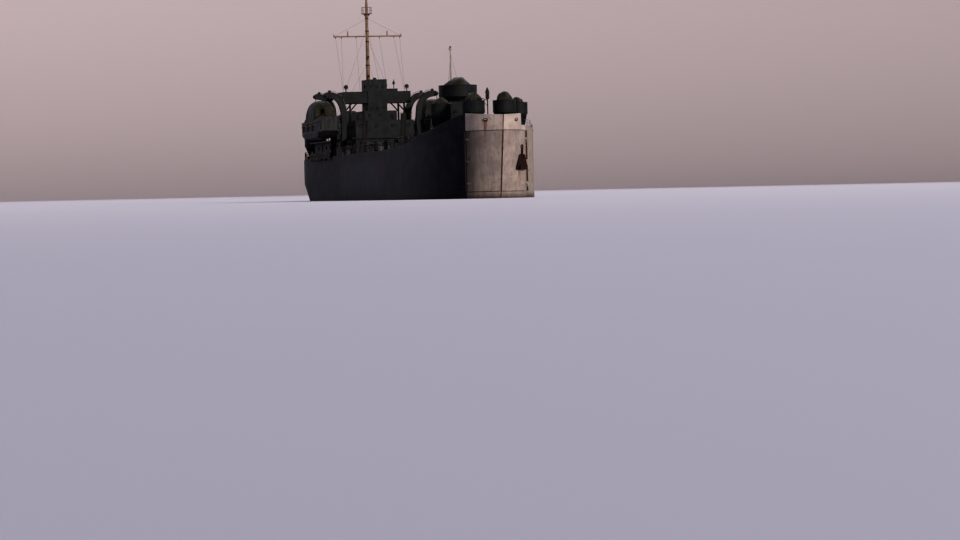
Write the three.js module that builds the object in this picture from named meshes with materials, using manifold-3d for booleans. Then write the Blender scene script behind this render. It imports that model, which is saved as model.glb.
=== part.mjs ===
// A 1:10 model of a tank landing ship with bow doors, a bow ramp, an open tank deck and boat davits.
// Every dimension below is in metres of the real ship. The exported group's scale turns them to
// millimetres of the model. The frame has +X to the bow, +Y to port and +Z up from the flat bottom.
import * as THREE from "three";
import { mergeGeometries, mergeVertices } from "three/addons/utils/BufferGeometryUtils.js";
import Module from "manifold-3d";

const wasm = await Module();
wasm.setup();

// Scale and running clearances
const MODEL_MM_PER_METRE = 100; // 1:10
const SEAT = 0.003; // 0.3 mm on the model, between pieces that touch
const RUN = 0.06; // 6 mm on the model, between pieces that pass each other

// Main dimensions of the hull
const LENGTH = 100.0;
const HALF_BEAM = 7.62;
const BILGE_RADIUS = 1.3;
const STEM_HEAD_Z = 11.0;
const STEM_RAKE = 2.2; // how far aft the stem is at the light waterline
const STEM_FOOT_Z = 0.9;
const DECK_Z = 7.67;
const FORECASTLE_Z = 9.6;
const BOW_X = LENGTH / 2; // the stem head; stations are counted aft from it

// Tank deck and the well between the bow doors and the ramp
const TANK_DECK_Z = 3.2;
const HOLD_TOP_Z = 7.2;
const HOLD_HALF_WIDTH = 4.5;
const HOLD_FORE = 14.0;
const HOLD_AFT = 72.0;
const MOUTH_TOP_Z = 7.6;
const SOLE_RISE = 0.05; // the tank deck's plating stands this far above the tops of the bottom's side tanks
const MOUTH_HALF_WIDTH = 2.45;
const RAMP_BULKHEAD = 6.6;
const WELL_FLOOR_Z = 1.7;
const WELL_TOP_Z = 9.2;
const WELL_SIDE = 0.5; // thickness of the hull's sides beside the well

// Bow doors, with the hinge axis just outside the hull's side
const DOOR_EDGE = 4.2;
const DOOR_THICKNESS = 0.35;
const HINGE_STATION = 4.2;
const HINGE_BREADTH = 3.9;
const HINGE_RADIUS = 0.13;
const HINGE_LENGTH = 0.32;
const HINGE_HEIGHTS = [2.6, 5.3, 8.0];

// Bow ramp, hinged at the tank deck's sill
const RAMP_AXIS_STATION = 6.3;
const RAMP_AXIS_Z = 3.05;
const RAMP_THICKNESS = 0.3;
const RAMP_HALF_WIDTH = 2.6;
const RAMP_TOP_Z = 8.7;
const RAMP_PIN_RADIUS = 0.09;
const BORE = 0.006; // how much wider a bore is than its pin, in radius

// Small helpers
const along = (station) => BOW_X - station;

// Deck outline, port side: station aft of the stem head, half-breadth
const DECK_OUTLINE = [
  [0, 0], [0.28, 0.52], [0.72, 1.18], [1.5, 2.08], [2.7, 3.0], [DOOR_EDGE, 3.75], // the door's curve
  [5.1, 4.24], [6, 4.7], [7.2, 5.22], [8.5, 5.7], [11, 6.43], [14, 7.0], [18, 7.42], [23, HALF_BEAM],
  [40, HALF_BEAM], [60, HALF_BEAM], [74, HALF_BEAM], [80, 7.45], [85, 6.75], [89, 5.85], [92.5, 5.0],
  [95.2, 4.25], [97.3, 3.5], [98.8, 2.7], [99.6, 1.8], [LENGTH, 0.9],
];

// Top of the hull at the side: station, height
const SHEER = [
  [0, FORECASTLE_Z], [7, FORECASTLE_Z], [12, 8.95], [18, 8.35], [26, 7.9], [34, DECK_Z], [LENGTH, DECK_Z],
];

// Underside on the centreline, from the stem aft: station, height
const KEEL = [
  [STEM_RAKE, STEM_FOOT_Z], [5, 0.5], [9, 0.2], [15, 0],
  [74, 0], [88, 2.7], [97, 3.6], [99.3, 4.6], [LENGTH, 5.6],
];

const lookUp = (table, station) => {
  const last = table.length - 1;
  if (station <= table[0][0]) return table[0][1];
  for (let i = 0; i < last; i++) {
    const [s0, v0] = table[i];
    const [s1, v1] = table[i + 1];
    if (station <= s1) return v0 + ((v1 - v0) * (station - s0)) / (s1 - s0);
  }
  return table[last][1];
};
const deckAt = (station) => lookUp(SHEER, station);
const keelAt = (station) => lookUp(KEEL, station);

// Turns a closed three.js geometry into a solid for cutting and joining.
function solid(geometry) {
  const bare = geometry.index ? geometry.toNonIndexed() : geometry.clone();
  bare.deleteAttribute("normal");
  bare.deleteAttribute("uv");
  const merged = mergeVertices(bare, 1e-5);
  return new wasm.Manifold(
    new wasm.Mesh({
      numProp: 3,
      vertProperties: new Float32Array(merged.attributes.position.array),
      triVerts: new Uint32Array(merged.index.array),
    }),
  );
}

// Turns a solid back into a three.js geometry.
function geometryOf(manifold) {
  const mesh = manifold.getMesh();
  const count = mesh.vertProperties.length / mesh.numProp;
  const position = new Float32Array(count * 3);
  for (let i = 0; i < count; i++) {
    position.set(mesh.vertProperties.subarray(i * mesh.numProp, i * mesh.numProp + 3), i * 3);
  }
  const geometry = new THREE.BufferGeometry();
  geometry.setAttribute("position", new THREE.BufferAttribute(position, 3));
  geometry.setIndex(new THREE.BufferAttribute(new Uint32Array(mesh.triVerts), 1));
  geometry.computeVertexNormals();
  return geometry;
}

const join = (solids) => solids.reduce((sum, next) => sum.add(next));
const mirrored = (manifold) => manifold.mirror([0, 1, 0]);

// A box between two stations, two breadths (port positive) and two heights.
function block([fore, aft], [breadth0, breadth1], [z0, z1]) {
  const box = new THREE.BoxGeometry(aft - fore, breadth1 - breadth0, z1 - z0);
  box.translate(along((fore + aft) / 2), (breadth0 + breadth1) / 2, (z0 + z1) / 2);
  return solid(box);
}

// A round post standing at a station and breadth; its top may be narrower or wider.
function post(station, breadth, [z0, z1], radius, { top = radius, sides = 16 } = {}) {
  const cylinder = new THREE.CylinderGeometry(top, radius, z1 - z0, sides);
  cylinder.rotateX(Math.PI / 2);
  cylinder.translate(along(station), breadth, (z0 + z1) / 2);
  return solid(cylinder);
}

// A turned body about a vertical axis; the profile is a closed list of [radius, height].
function turned(station, breadth, profile, sides = 24) {
  const lathe = new THREE.LatheGeometry(profile.map(([r, z]) => new THREE.Vector2(r, z)), sides);
  lathe.rotateX(Math.PI / 2);
  lathe.translate(along(station), breadth, 0);
  return solid(lathe);
}

// A round bar between two points [station, breadth, height].
function bar(from, to, radius, sides = 10) {
  const a = new THREE.Vector3(along(from[0]), from[1], from[2]);
  const b = new THREE.Vector3(along(to[0]), to[1], to[2]);
  const cylinder = new THREE.CylinderGeometry(radius, radius, a.distanceTo(b), sides);
  const way = b.clone().sub(a).normalize();
  cylinder.applyQuaternion(new THREE.Quaternion().setFromUnitVectors(new THREE.Vector3(0, 1, 0), way));
  cylinder.translate((a.x + b.x) / 2, (a.y + b.y) / 2, (a.z + b.z) / 2);
  return solid(cylinder);
}

// A plate whose outline is drawn on the ship's side view, as [station, height], between two breadths.
function sidePlate(outline, [breadth0, breadth1]) {
  const shape = new THREE.Shape(outline.map(([s, z]) => new THREE.Vector2(along(s), z)));
  const plate = new THREE.ExtrudeGeometry(shape, { depth: breadth1 - breadth0, bevelEnabled: false });
  plate.rotateX(Math.PI / 2);
  plate.translate(0, breadth1, 0);
  return solid(plate);
}

// A plate whose outline is drawn on the plan, as [station, breadth], between two heights.
function planPlate(outline, [z0, z1]) {
  const shape = new THREE.Shape(outline.map(([s, b]) => new THREE.Vector2(along(s), b)));
  const plate = new THREE.ExtrudeGeometry(shape, { depth: z1 - z0, bevelEnabled: false });
  plate.translate(0, 0, z0);
  return solid(plate);
}

// A plate whose outline is drawn across the ship, as [breadth, height], between two stations.
function crossPlate(outline, [fore, aft]) {
  const shape = new THREE.Shape(outline.map(([b, z]) => new THREE.Vector2(b, z)));
  const plate = new THREE.ExtrudeGeometry(shape, { depth: aft - fore, bevelEnabled: false });
  plate.rotateX(Math.PI / 2);
  plate.rotateZ(Math.PI / 2);
  plate.translate(along(aft), 0, 0);
  return solid(plate);
}

// Hull form: the deck outline, raked at the stem, drawn in at the bilge and fined at the stern's run.
const bilgeInset = (z) => {
  if (z >= BILGE_RADIUS) return 0;
  return BILGE_RADIUS - Math.sqrt(BILGE_RADIUS ** 2 - (BILGE_RADIUS - z) ** 2);
};
const stemAt = (z) => (STEM_RAKE * (STEM_HEAD_Z - z)) / (STEM_HEAD_Z - STEM_FOOT_Z);

function waterline(z) {
  const stem = stemAt(z);
  const runDepth = Math.min(1, Math.max(0, 1 - z / 4.5));
  return DECK_OUTLINE.map(([station, breadth]) => {
    const raked = station < DOOR_EDGE ? stem + (station * (DOOR_EDGE - stem)) / DOOR_EDGE : station;
    const run = 1 - 0.45 * runDepth * Math.max(0, (station - 74) / (LENGTH - 74));
    return [raked, (breadth * run * (HALF_BEAM - bilgeInset(z))) / HALF_BEAM];
  });
}

// Moves an outline inwards by a thickness; the stem and the stern's centre keep to the centreline.
function inset(outline, thickness) {
  const whole = [...outline.map(([s, b]) => [s, -b]).reverse(), ...outline.slice(1)];
  const middle = outline.length - 1;
  return outline.map((point, i) => {
    const here = middle + i;
    const before = whole[Math.max(0, here - 1)];
    const after = whole[Math.min(whole.length - 1, here + 1)];
    const first = normalOf(before, point);
    const second = here + 1 < whole.length ? normalOf(point, after) : first;
    const share = thickness / (1 + first[0] * second[0] + first[1] * second[1]);
    const moved = [0, 1].map((k) => point[k] + (first[k] + second[k]) * share);
    return [moved[0], Math.max(0, moved[1])];
  });
}
function normalOf([s0, b0], [s1, b1]) {
  const length = Math.hypot(s1 - s0, b1 - b0);
  return [(b1 - b0) / length, -(s1 - s0) / length];
}

// A solid through one outline for each height, closed at the bottom and the top.
function loft(heights, outlineAt) {
  const rings = heights.map((z) => {
    const port = outlineAt(z);
    const starboard = port.slice(1).reverse().map(([s, b]) => [s, -b]);
    return [...port, ...starboard].map(([s, b]) => [along(s), b, z]);
  });
  const size = rings[0].length;
  const side = (size + 1) / 2;
  const index = [];
  rings.slice(1).forEach((_, level) => {
    const low = level * size;
    const high = low + size;
    for (let i = 0; i < size; i++) {
      const next = (i + 1) % size;
      index.push(low + i, low + next, high + i, low + next, high + next, high + i);
    }
  });
  const top = (rings.length - 1) * size;
  for (let i = 0; i < side - 1; i++) {
    const port = [i, i + 1];
    const starboard = [(size - i) % size, size - i - 1];
    if (i === 0) {
      index.push(port[0], starboard[1], port[1]);
      index.push(top + port[0], top + port[1], top + starboard[1]);
      continue;
    }
    index.push(port[0], starboard[1], port[1], port[0], starboard[0], starboard[1]);
    index.push(top + port[0], top + port[1], top + starboard[1]);
    index.push(top + port[0], top + starboard[1], top + starboard[0]);
  }
  const geometry = new THREE.BufferGeometry();
  geometry.setAttribute("position", new THREE.BufferAttribute(new Float32Array(rings.flat(2)), 3));
  geometry.setIndex(index);
  return solid(geometry);
}

const HULL_HEIGHTS = [0, 0.1, 0.38, 0.8, BILGE_RADIUS, 2.6, 4.5, 7.6, STEM_HEAD_Z + 0.6];
const SHELL_HEIGHTS = [1.0, 4.5, STEM_HEAD_Z + 0.8];

const outerForm = loft(HULL_HEIGHTS, waterline);
const innerForm = (thickness) => loft(SHELL_HEIGHTS, (z) => inset(waterline(z), thickness));

// The hull below its decks
const hullForm = outerForm.intersect(
  sidePlate([[-1, FORECASTLE_Z], [-1, STEM_FOOT_Z], ...KEEL, ...SHEER.slice(1).reverse()], [-9, 9]),
);

const FAR = 9; // clear of the hull's side, for cutting blocks
const LAP = 0.01; // how far pieces that are joined run into each other
const SOLE_Z = TANK_DECK_Z - SOLE_RISE;
const bottomRegion = join([
  block([-1, RAMP_BULKHEAD], [-FAR, FAR], [-1, WELL_FLOOR_Z]),
  block([RAMP_BULKHEAD - LAP, HOLD_AFT], [-FAR, FAR], [-1, SOLE_Z]),
]);
const deckRegion = join([
  block([-1, RAMP_BULKHEAD], [-FAR, FAR], [WELL_TOP_Z, 12]),
  block([RAMP_BULKHEAD - LAP, HOLD_FORE], [-FAR, FAR], [MOUTH_TOP_Z, 12]),
  block([HOLD_FORE - LAP, HOLD_AFT], [-FAR, FAR], [HOLD_TOP_Z, 12]),
]);
const doorRegion = block([-1, DOOR_EDGE + RUN / 2], [-FAR, FAR], [WELL_FLOOR_Z, WELL_TOP_Z]);
const wellCavity = innerForm(WELL_SIDE).intersect(
  block([-1, RAMP_BULKHEAD], [-FAR, FAR], [WELL_FLOOR_Z, WELL_TOP_Z]),
);
const tunnels = join([
  block([0, HOLD_FORE + LAP], [-MOUTH_HALF_WIDTH, MOUTH_HALF_WIDTH], [SOLE_Z, MOUTH_TOP_Z]),
  block([HOLD_FORE, HOLD_AFT], [-HOLD_HALF_WIDTH, HOLD_HALF_WIDTH], [SOLE_Z, HOLD_TOP_Z]),
]);

// One half of the middle band of the hull, between its bottom and its deck
function hullSide() {
  const band = hullForm
    .subtract(block([HOLD_AFT - SEAT, LENGTH + 1], [-FAR, FAR], [-1, 12]))
    .subtract(bottomRegion.translate([0, 0, SEAT]))
    .subtract(deckRegion.translate([0, 0, -SEAT]));
  const wall = band
    .subtract(doorRegion)
    .subtract(wellCavity)
    .subtract(tunnels)
    .intersect(block([-1, LENGTH], [SEAT / 2, FAR], [-1, 12]));
  return wall.add(hullHinges());
}

// A hinge barrel with a strap along the plating, forward for the door or aft for the hull
const shellAt = (station, z) => lookUp(waterline(z), station);
function hingeBarrel(z, reach) {
  const barrel = post(HINGE_STATION, HINGE_BREADTH, [z, z + HINGE_LENGTH], HINGE_RADIUS, { sides: 12 });
  const end = HINGE_STATION + reach;
  const skin = shellAt(end, z);
  const near = HINGE_STATION + Math.sign(reach) * HINGE_RADIUS * 0.5;
  const strap = [
    [near, HINGE_BREADTH - HINGE_RADIUS * 0.7],
    [near, HINGE_BREADTH + HINGE_RADIUS * 0.7],
    [end, skin + 0.06],
    [end, skin - 0.15],
  ];
  return barrel.add(planPlate(reach < 0 ? strap : strap.reverse(), [z + 0.04, z + HINGE_LENGTH - 0.04]));
}
const hullHinges = () => join(HINGE_HEIGHTS.map((z) => hingeBarrel(z - HINGE_LENGTH - SEAT, 0.9)));

function bowDoor() {
  const shell = outerForm
    .intersect(block([-1, DOOR_EDGE - RUN / 2], [RUN / 2, FAR], [WELL_FLOOR_Z + RUN, WELL_TOP_Z - RUN]))
    .subtract(innerForm(DOOR_THICKNESS));
  const barrels = HINGE_HEIGHTS.map((z) => hingeBarrel(z, -0.45));
  return shell.add(join(barrels));
}

function hullBottom() {
  const sole = hullForm
    .intersect(bottomRegion)
    .subtract(block([HOLD_AFT - SEAT, LENGTH + 1], [-FAR, FAR], [-1, 12]));
  const lugs = [1, -1].map((side) => {
    const inner = RAMP_HALF_WIDTH + 0.02;
    const heights = [2.85, SOLE_Z];
    const lug = block([RAMP_AXIS_STATION - 0.16, RAMP_BULKHEAD + 0.1], [inner, inner + 0.16], heights);
    const pin = bar(
      [RAMP_AXIS_STATION, RAMP_HALF_WIDTH - 0.2, RAMP_AXIS_Z],
      [RAMP_AXIS_STATION, inner + 0.1, RAMP_AXIS_Z],
      RAMP_PIN_RADIUS,
      16,
    );
    const both = lug.add(pin);
    return side > 0 ? both : mirrored(both);
  });
  return sole.add(join([...lugs, tankDeckPlating()]));
}

// The plating that vehicles stand on, 0.3 mm clear of the hull's sides all round
function tankDeckPlating() {
  const heights = [TANK_DECK_Z - 2 * SOLE_RISE, TANK_DECK_Z];
  const mouth = MOUTH_HALF_WIDTH - SEAT;
  const hold = HOLD_HALF_WIDTH - SEAT;
  return join([
    block([RAMP_BULKHEAD, HOLD_FORE + 0.1], [-mouth, mouth], heights),
    block([HOLD_FORE + SEAT, HOLD_AFT - SEAT], [-hold, hold], heights),
  ]);
}

function bowRamp() {
  const half = RAMP_THICKNESS / 2;
  const fore = RAMP_AXIS_STATION - half;
  const aft = RAMP_AXIS_STATION + half;
  const plate = block([fore, aft], [-RAMP_HALF_WIDTH, RAMP_HALF_WIDTH], [RAMP_AXIS_Z - half, RAMP_TOP_Z]);
  const treads = [...Array(9).keys()].map((i) => {
    const z = 3.6 + i * 0.55;
    return block([aft - LAP, aft + 0.05], [-RAMP_HALF_WIDTH + 0.3, RAMP_HALF_WIDTH - 0.3], [z, z + 0.12]);
  });
  const ribs = [-2.2, -1.1, 0, 1.1, 2.2].map((b) =>
    block([fore - 0.16, fore + LAP], [b - 0.08, b + 0.08], [3.4, 8.5]),
  );
  const bore = bar(
    [RAMP_AXIS_STATION, -RAMP_HALF_WIDTH - 0.1, RAMP_AXIS_Z],
    [RAMP_AXIS_STATION, RAMP_HALF_WIDTH + 0.1, RAMP_AXIS_Z],
    RAMP_PIN_RADIUS + BORE,
    16,
  );
  const socket = join([
    bore.intersect(block([0, 20], [RAMP_HALF_WIDTH - 0.25, 9], [0, 9])),
    bore.intersect(block([0, 20], [-9, -RAMP_HALF_WIDTH + 0.25], [0, 9])),
  ]);
  return join([plate, ...treads, ...ribs]).subtract(socket);
}

// Deck over the hold, the forecastle deck and the fixed bow above the doors, with the mooring bitts
const BITTS = [[17, 6.6], [28, 7.1], [42, 7.1], [56, 7.1]];
function mainDeck() {
  const slab = hullForm
    .intersect(deckRegion)
    .subtract(block([HOLD_AFT - SEAT, LENGTH + 1], [-FAR, FAR], [-1, 12]));
  const bitts = BITTS.flatMap(([station, breadth]) =>
    [breadth, -breadth].flatMap((b) => bittPair(station, b, deckAt(station + 0.6))),
  );
  return slab.add(join([...bitts, ...pedestalPair(DAVIT.stations[0])]));
}
const pedestalPair = (station) => [davitPedestal(station), mirrored(davitPedestal(station))];
function bittPair(station, breadth, deck) {
  const sides = [breadth - 0.25, breadth + 0.25];
  const sole = block([station - 0.7, station + 0.7], sides, [deck - 0.1, deck + 0.08]);
  const heads = [-0.4, 0.4].map((d) => post(station + d, breadth, [deck, deck + 0.6], 0.19, { sides: 8 }));
  return join([sole, ...heads]);
}

const STERN_BITTS = { station: 89.0, breadth: 5.2 };
function hullStern() {
  const body = hullForm.intersect(block([HOLD_AFT, LENGTH + 1], [-FAR, FAR], [-1, 12]));
  const skeg = sidePlate([[76, 0], [90.5, 0.35], [90.5, 3.2], [76, 0.8]], [-0.22, 0.22]);
  const { station, breadth } = STERN_BITTS;
  const bitts = [breadth, -breadth].map((b) => bittPair(station, b, DECK_Z));
  return join([body, skeg, ...bitts, ...pedestalPair(DAVIT.stations[1])]);
}

// Bulwark round the forecastle: station, height of its top
const BULWARK_TOP = [
  [0, STEM_HEAD_Z], [2, 11.15], [4.2, 11.3], [6, 10.9], [9, 10.1], [12, 9.4], [15, 9.1], [17, 8.75],
];
const BULWARK_END = 17;
const BULWARK_THICKNESS = 0.12;
// The port bulwark is cut down beside the anchor to a sill this far above the deck, level as far as flat
const BULWARK_GAP = { fore: 2.35, flat: 7, aft: 9.2, sill: 0.15 };
function bulwark() {
  const footStations = [BULWARK_END, ...SHEER.map(([s]) => s).filter((s) => s < BULWARK_END).reverse()];
  const foot = footStations.map((s) => [s, deckAt(s) + SEAT]);
  return outerForm
    .subtract(innerForm(BULWARK_THICKNESS))
    .intersect(sidePlate([...BULWARK_TOP, ...foot], [SEAT / 2, FAR]));
}
function cutDownBulwark() {
  const { fore, flat, aft, sill } = BULWARK_GAP;
  const edge = [fore, flat, aft].map((s) => [s, deckAt(s) + sill]);
  return bulwark().subtract(sidePlate([[aft, 12], ...edge.reverse(), [fore, 12]], [0, FAR]));
}

// Cuts away what lies inside the hull, so that a piece stands 0.3 mm above a sloping deck.
const onDeck = (manifold) => manifold.subtract(hullForm.translate([0, 0, SEAT]));

// Round platforms: station, breadth, radius, floor, rim, column radius, what the column stands on
const TUB_WALL = 0.12;
const TUBS = {
  fore_tub: { station: 7.3, breadth: 1.95, radius: 1.4, floor: 11.6, rim: 12.95, column: 0.9, foot: 9.3 },
  side_tub: { station: 12.5, breadth: 4.83, radius: 1.35, floor: 11.5, rim: 12.8, column: 0.8, foot: 8.6 },
  centre_tub: { station: 23.3, breadth: 0, radius: 2.4, floor: 14.1, rim: 15.4, column: 1.2, foot: 13.0 },
  quarter_tub: { station: 92.0, breadth: 3.6, radius: 1.5, floor: 9.7, rim: 11.0, column: 0.8, foot: 7.4 },
  stern_tub: { station: 87, breadth: 0, radius: 2.35, floor: 12.0, rim: 13.3, column: 1.0, foot: 10.103 },
};
const COVERS = {
  fore_tub: { radius: 1.22, top: 14.05 },
  side_tub: { radius: 1.18, top: 13.6 },
  centre_tub: { radius: 2.15, top: 16.45 },
  quarter_tub: { radius: 1.32, top: 12.0 },
  stern_tub: { radius: 2.1, top: 14.3 },
};

function tub({ station, breadth, radius, floor, rim, column, foot }) {
  const flare = floor - 0.75;
  return turned(station, breadth, [
    [0, foot], [column, foot], [column, flare], [radius, floor - 0.1], [radius, rim],
    [radius - TUB_WALL, rim], [radius - TUB_WALL, floor], [0, floor],
  ]);
}

// A canvas cover lashed over what stands in a tub, drawn in at its foot and domed at its top
function cover({ station, breadth, floor }, { radius, top }) {
  const low = floor + SEAT;
  const tall = top - low;
  return turned(station, breadth, [
    [0, low], [radius * 0.9, low], [radius, low + tall * 0.3], [radius * 0.93, low + tall * 0.6],
    [radius * 0.68, low + tall * 0.85], [radius * 0.32, low + tall * 0.97], [0, top],
  ]);
}

// The tall house under the centre platform
const HOUSE_HALF = 1.75;
const HOUSE_TOP = 13.4;
function centreTub() {
  const { station } = TUBS.centre_tub;
  const sides = [-HOUSE_HALF, HOUSE_HALF];
  const house = block([station - HOUSE_HALF, station + HOUSE_HALF], sides, [7.5, HOUSE_TOP]);
  return onDeck(join([tub(TUBS.centre_tub), house]));
}

// A thin signal pole on the main deck
const POLE = { station: 26.8, top: 20.3, foot: 0.16, tip: 0.08 };
function lightMast() {
  const pole = post(POLE.station, 0, [7.5, POLE.top], POLE.foot, { top: POLE.tip, sides: 10 });
  const sole = block([POLE.station - 0.5, POLE.station + 0.5], [-0.5, 0.5], [7.5, 8.05]);
  const head = post(POLE.station, 0, [POLE.top - 0.3, POLE.top], 0.2, { sides: 10 });
  return onDeck(join([pole, sole, head]));
}

// Cargo hatch: a coaming with a cover of planks across it
const HATCH = { fore: 38, aft: 46, half: 2.4, coaming: 8.3, planks: 8.42 };
function cargoHatch() {
  const { fore, aft, half, coaming, planks } = HATCH;
  const deck = DECK_Z + SEAT;
  const body = block([fore, aft], [-half, half], [deck, coaming]);
  const lid = block([fore + 0.15, aft - 0.15], [-half + 0.15, half - 0.15], [coaming - 0.01, planks]);
  const battens = [1, 2, 3, 4, 5, 6, 7].map((i) => {
    const middle = fore + (i * (aft - fore)) / 8;
    return block([middle - 0.08, middle + 0.08], [-half + 0.1, half - 0.1], [planks - 0.01, planks + 0.07]);
  });
  return join([body, lid, ...battens]);
}

// Mushroom ventilators for the tank deck, on one curb along the deck's side
const VENTS = { fore: 20.5, aft: 61, count: 8, breadth: 6.1, height: 1.35 };
function deckVents() {
  const { fore, aft, count, breadth, height } = VENTS;
  const curbs = [[19.5, 26], [25.9, 34], [33.9, 62]].map(([from, to]) =>
    block([from, to], [breadth - 0.18, breadth + 0.18], [7.4, Math.max(deckAt(from), deckAt(to)) + 0.12]),
  );
  const vents = [...Array(count).keys()].map((i) => {
    const station = fore + (i * (aft - fore)) / (count - 1);
    const deck = deckAt(station);
    const stem = post(station, breadth, [deck - 0.2, deck + height], 0.27, { sides: 12 });
    const cap = post(station, breadth, [deck + height - 0.3, deck + height], 0.46, { top: 0.3, sides: 12 });
    return stem.add(cap);
  });
  return onDeck(join([...curbs, ...vents]));
}

// Superstructure aft
const LOWER_HOUSE = { fore: 64, aft: 90, half: 4.2, roofHalf: 4.75, top: 10.1 };
const UPPER_HOUSE = { fore: 67.2, aft: 78, half: 2.2, top: 13.1, rail: 13.7 };
const BOAT_DECK_HOUSE = { fore: 65, aft: 80, half: 3.95, top: 12.4 };
const TOWER = { fore: 68.9, aft: 72.6, half: 1.3, top: 17.85, stepTo: 2.95, stepTop: 16.7 };
const WINGS = { fore: 69.0, aft: 73.1, half: 4.56, floor: 14.95, rail: 16.25, leg: 3.7 };
const PLATE = 0.12;

function lowerHouse() {
  const { fore, aft, half, roofHalf, top } = LOWER_HOUSE;
  const walls = block([fore, aft], [-half, half], [DECK_Z + SEAT, top]);
  const roof = block([fore - 0.3, aft + 0.3], [-roofHalf, roofHalf], [top - 0.16, top]);
  return walls.add(roof);
}

function upperHouse() {
  const { fore, aft, half, top, rail } = UPPER_HOUSE;
  const wide = BOAT_DECK_HOUSE;
  const base = block([wide.fore, wide.aft], [-wide.half, wide.half], [LOWER_HOUSE.top + SEAT, wide.top]);
  const walls = block([fore, aft], [-half, half], [wide.top - 0.1, rail]);
  const well = block([fore + PLATE, aft - PLATE], [-half + PLATE, half - PLATE], [top, rail + 1]);
  return base.add(walls).subtract(well);
}

// The conning tower, open-topped, with a lower step on its port side
function conningTower() {
  const { fore, aft, half, top, stepTo, stepTop } = TOWER;
  const body = block([fore, aft], [-half, half], [UPPER_HOUSE.top + SEAT, top]);
  const step = block([fore + 0.8, aft - 0.8], [half - 0.1, stepTo], [WINGS.floor + SEAT, stepTop]);
  const well = block([fore + PLATE, aft - PLATE], [-half + PLATE, half - PLATE], [top - 1.2, top + 1]);
  return body.add(step).subtract(well);
}

function bridgeWings() {
  const { fore, aft, half, floor, rail, leg } = WINGS;
  const deck = block([fore, aft], [-half, half], [floor - 0.15, rail]);
  const well = block([fore + PLATE, aft - PLATE], [-half + PLATE, half - PLATE], [floor, rail + 1]);
  const sides = [-TOWER.half - SEAT, TOWER.half + SEAT];
  const shaft = block([TOWER.fore - SEAT, TOWER.aft + SEAT], sides, [12, 18]);
  const legs = [fore + 0.3, aft - 0.3].flatMap((station) =>
    [-1, 1].flatMap((side) => [
      post(station, side * leg, [BOAT_DECK_HOUSE.top + SEAT, floor - 0.1], 0.13, { sides: 8 }),
      bar([station, side * leg, floor - 1.2], [station, side * (leg - 1.0), floor - 0.1], 0.09, 8),
    ]),
  );
  return join([deck.subtract(well), ...legs]).subtract(shaft);
}

// Main mast with its yard, and what turns at its head
const MAST = { station: 74.3, foot: 0.32, head: 0.17, top: 28.5, platform: 26.9, sides: 14 };
const YARD = { z: 23.9, half: 4.65, radius: 0.09, upright: 2.7, rise: 0.7 };
function mainMast() {
  const { station, foot, head, top, platform } = MAST;
  const pole = post(station, 0, [UPPER_HOUSE.top + SEAT, top], foot, { top: head, sides: MAST.sides });
  const deck = block([station - 0.65, station + 0.65], [-0.6, 0.6], [platform, platform + 0.1]);
  const knee = [[-0.5, platform + LAP], [0, platform - 0.7], [0.5, platform + LAP]];
  const bracket = crossPlate(knee, [station - 0.05, station + 0.05]);
  const lamps = [15.6, 18.2, 20.8].map((z) => block([station - 0.55, station], [-0.12, 0.12], [z, z + 0.14]));
  const footing = [UPPER_HOUSE.top + SEAT, UPPER_HOUSE.top + 0.2];
  const sole = block([station - 0.6, station + 0.6], [-0.6, 0.6], footing);
  return join([pole, deck, bracket, sole, ...lamps, mastYard()]);
}

function mastYard() {
  const { station: middle, foot, head, top } = MAST;
  const share = (YARD.z - UPPER_HOUSE.top) / (top - UPPER_HOUSE.top);
  const station = middle - foot - (head - foot) * share;
  const spar = [bar([station, -YARD.half, YARD.z], [station, YARD.half, YARD.z], YARD.radius)];
  const uprights = [-YARD.upright, YARD.upright].map((b) =>
    post(station, b, [YARD.z, YARD.z + YARD.rise], 0.08, { sides: 8 }),
  );
  const tips = [-YARD.half, YARD.half].map((b) =>
    post(station, b * 0.99, [YARD.z - 0.15, YARD.z + 0.3], 0.07, { sides: 8 }),
  );
  return join([...spar, ...uprights, ...tips]);
}

function radar() {
  const { station, top } = MAST;
  const hub = post(station, 0, [top + SEAT, top + 0.5], 0.13, { sides: 12 });
  const outline = [[-0.75, 29.0], [0.75, 29.0], [0.75, 29.35], [0.4, 29.6], [-0.4, 29.6], [-0.75, 29.35]];
  const dish = crossPlate(outline, [station - 0.2, station - 0.06]);
  const arm = block([station - 0.2, station + 0.1], [-0.1, 0.1], [28.85, 29.1]);
  return join([hub, dish, arm]);
}

// Boat davits: gooseneck arms on deck pedestals, drawn across the ship as [breadth, height]
const DAVIT = {
  stations: [66.8, 73.3], heel: [5.25, 8.15], head: [7.55, 15.85], half: 0.18, pin: 0.1, eye: 0.28,
};
const ARM_OUTER = [
  [5.02, 8.15], [4.85, 10.4], [4.72, 12.6], [4.9, 14.2], [5.5, 15.45], [6.35, 16.1], [7.55, 16.2],
];
const ARM_INNER = [[7.55, 15.55], [6.6, 15.4], [6.0, 14.9], [5.6, 14.0], [5.45, 12.6], [5.5, 8.15]];
function davitArm(station) {
  const { heel, head, half, pin, eye } = DAVIT;
  const sides = [station - half, station + half];
  const arm = crossPlate([...ARM_OUTER, ...ARM_INNER].reverse(), sides);
  const eyes = [heel, head].map(([b, z]) => bar([sides[0], b, z], [sides[1], b, z], eye, 16));
  const bore = bar([station - 1, ...heel], [station + 1, ...heel], pin + BORE, 16);
  const headPin = bar([sides[0] - 0.3, ...head], [sides[0] + 0.1, ...head], pin, 16);
  const cap = bar([sides[0] - 0.34, ...head], [sides[0] - 0.27, ...head], pin + 0.06, 16);
  return join([arm, ...eyes]).subtract(bore).add(headPin).add(cap);
}

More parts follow.
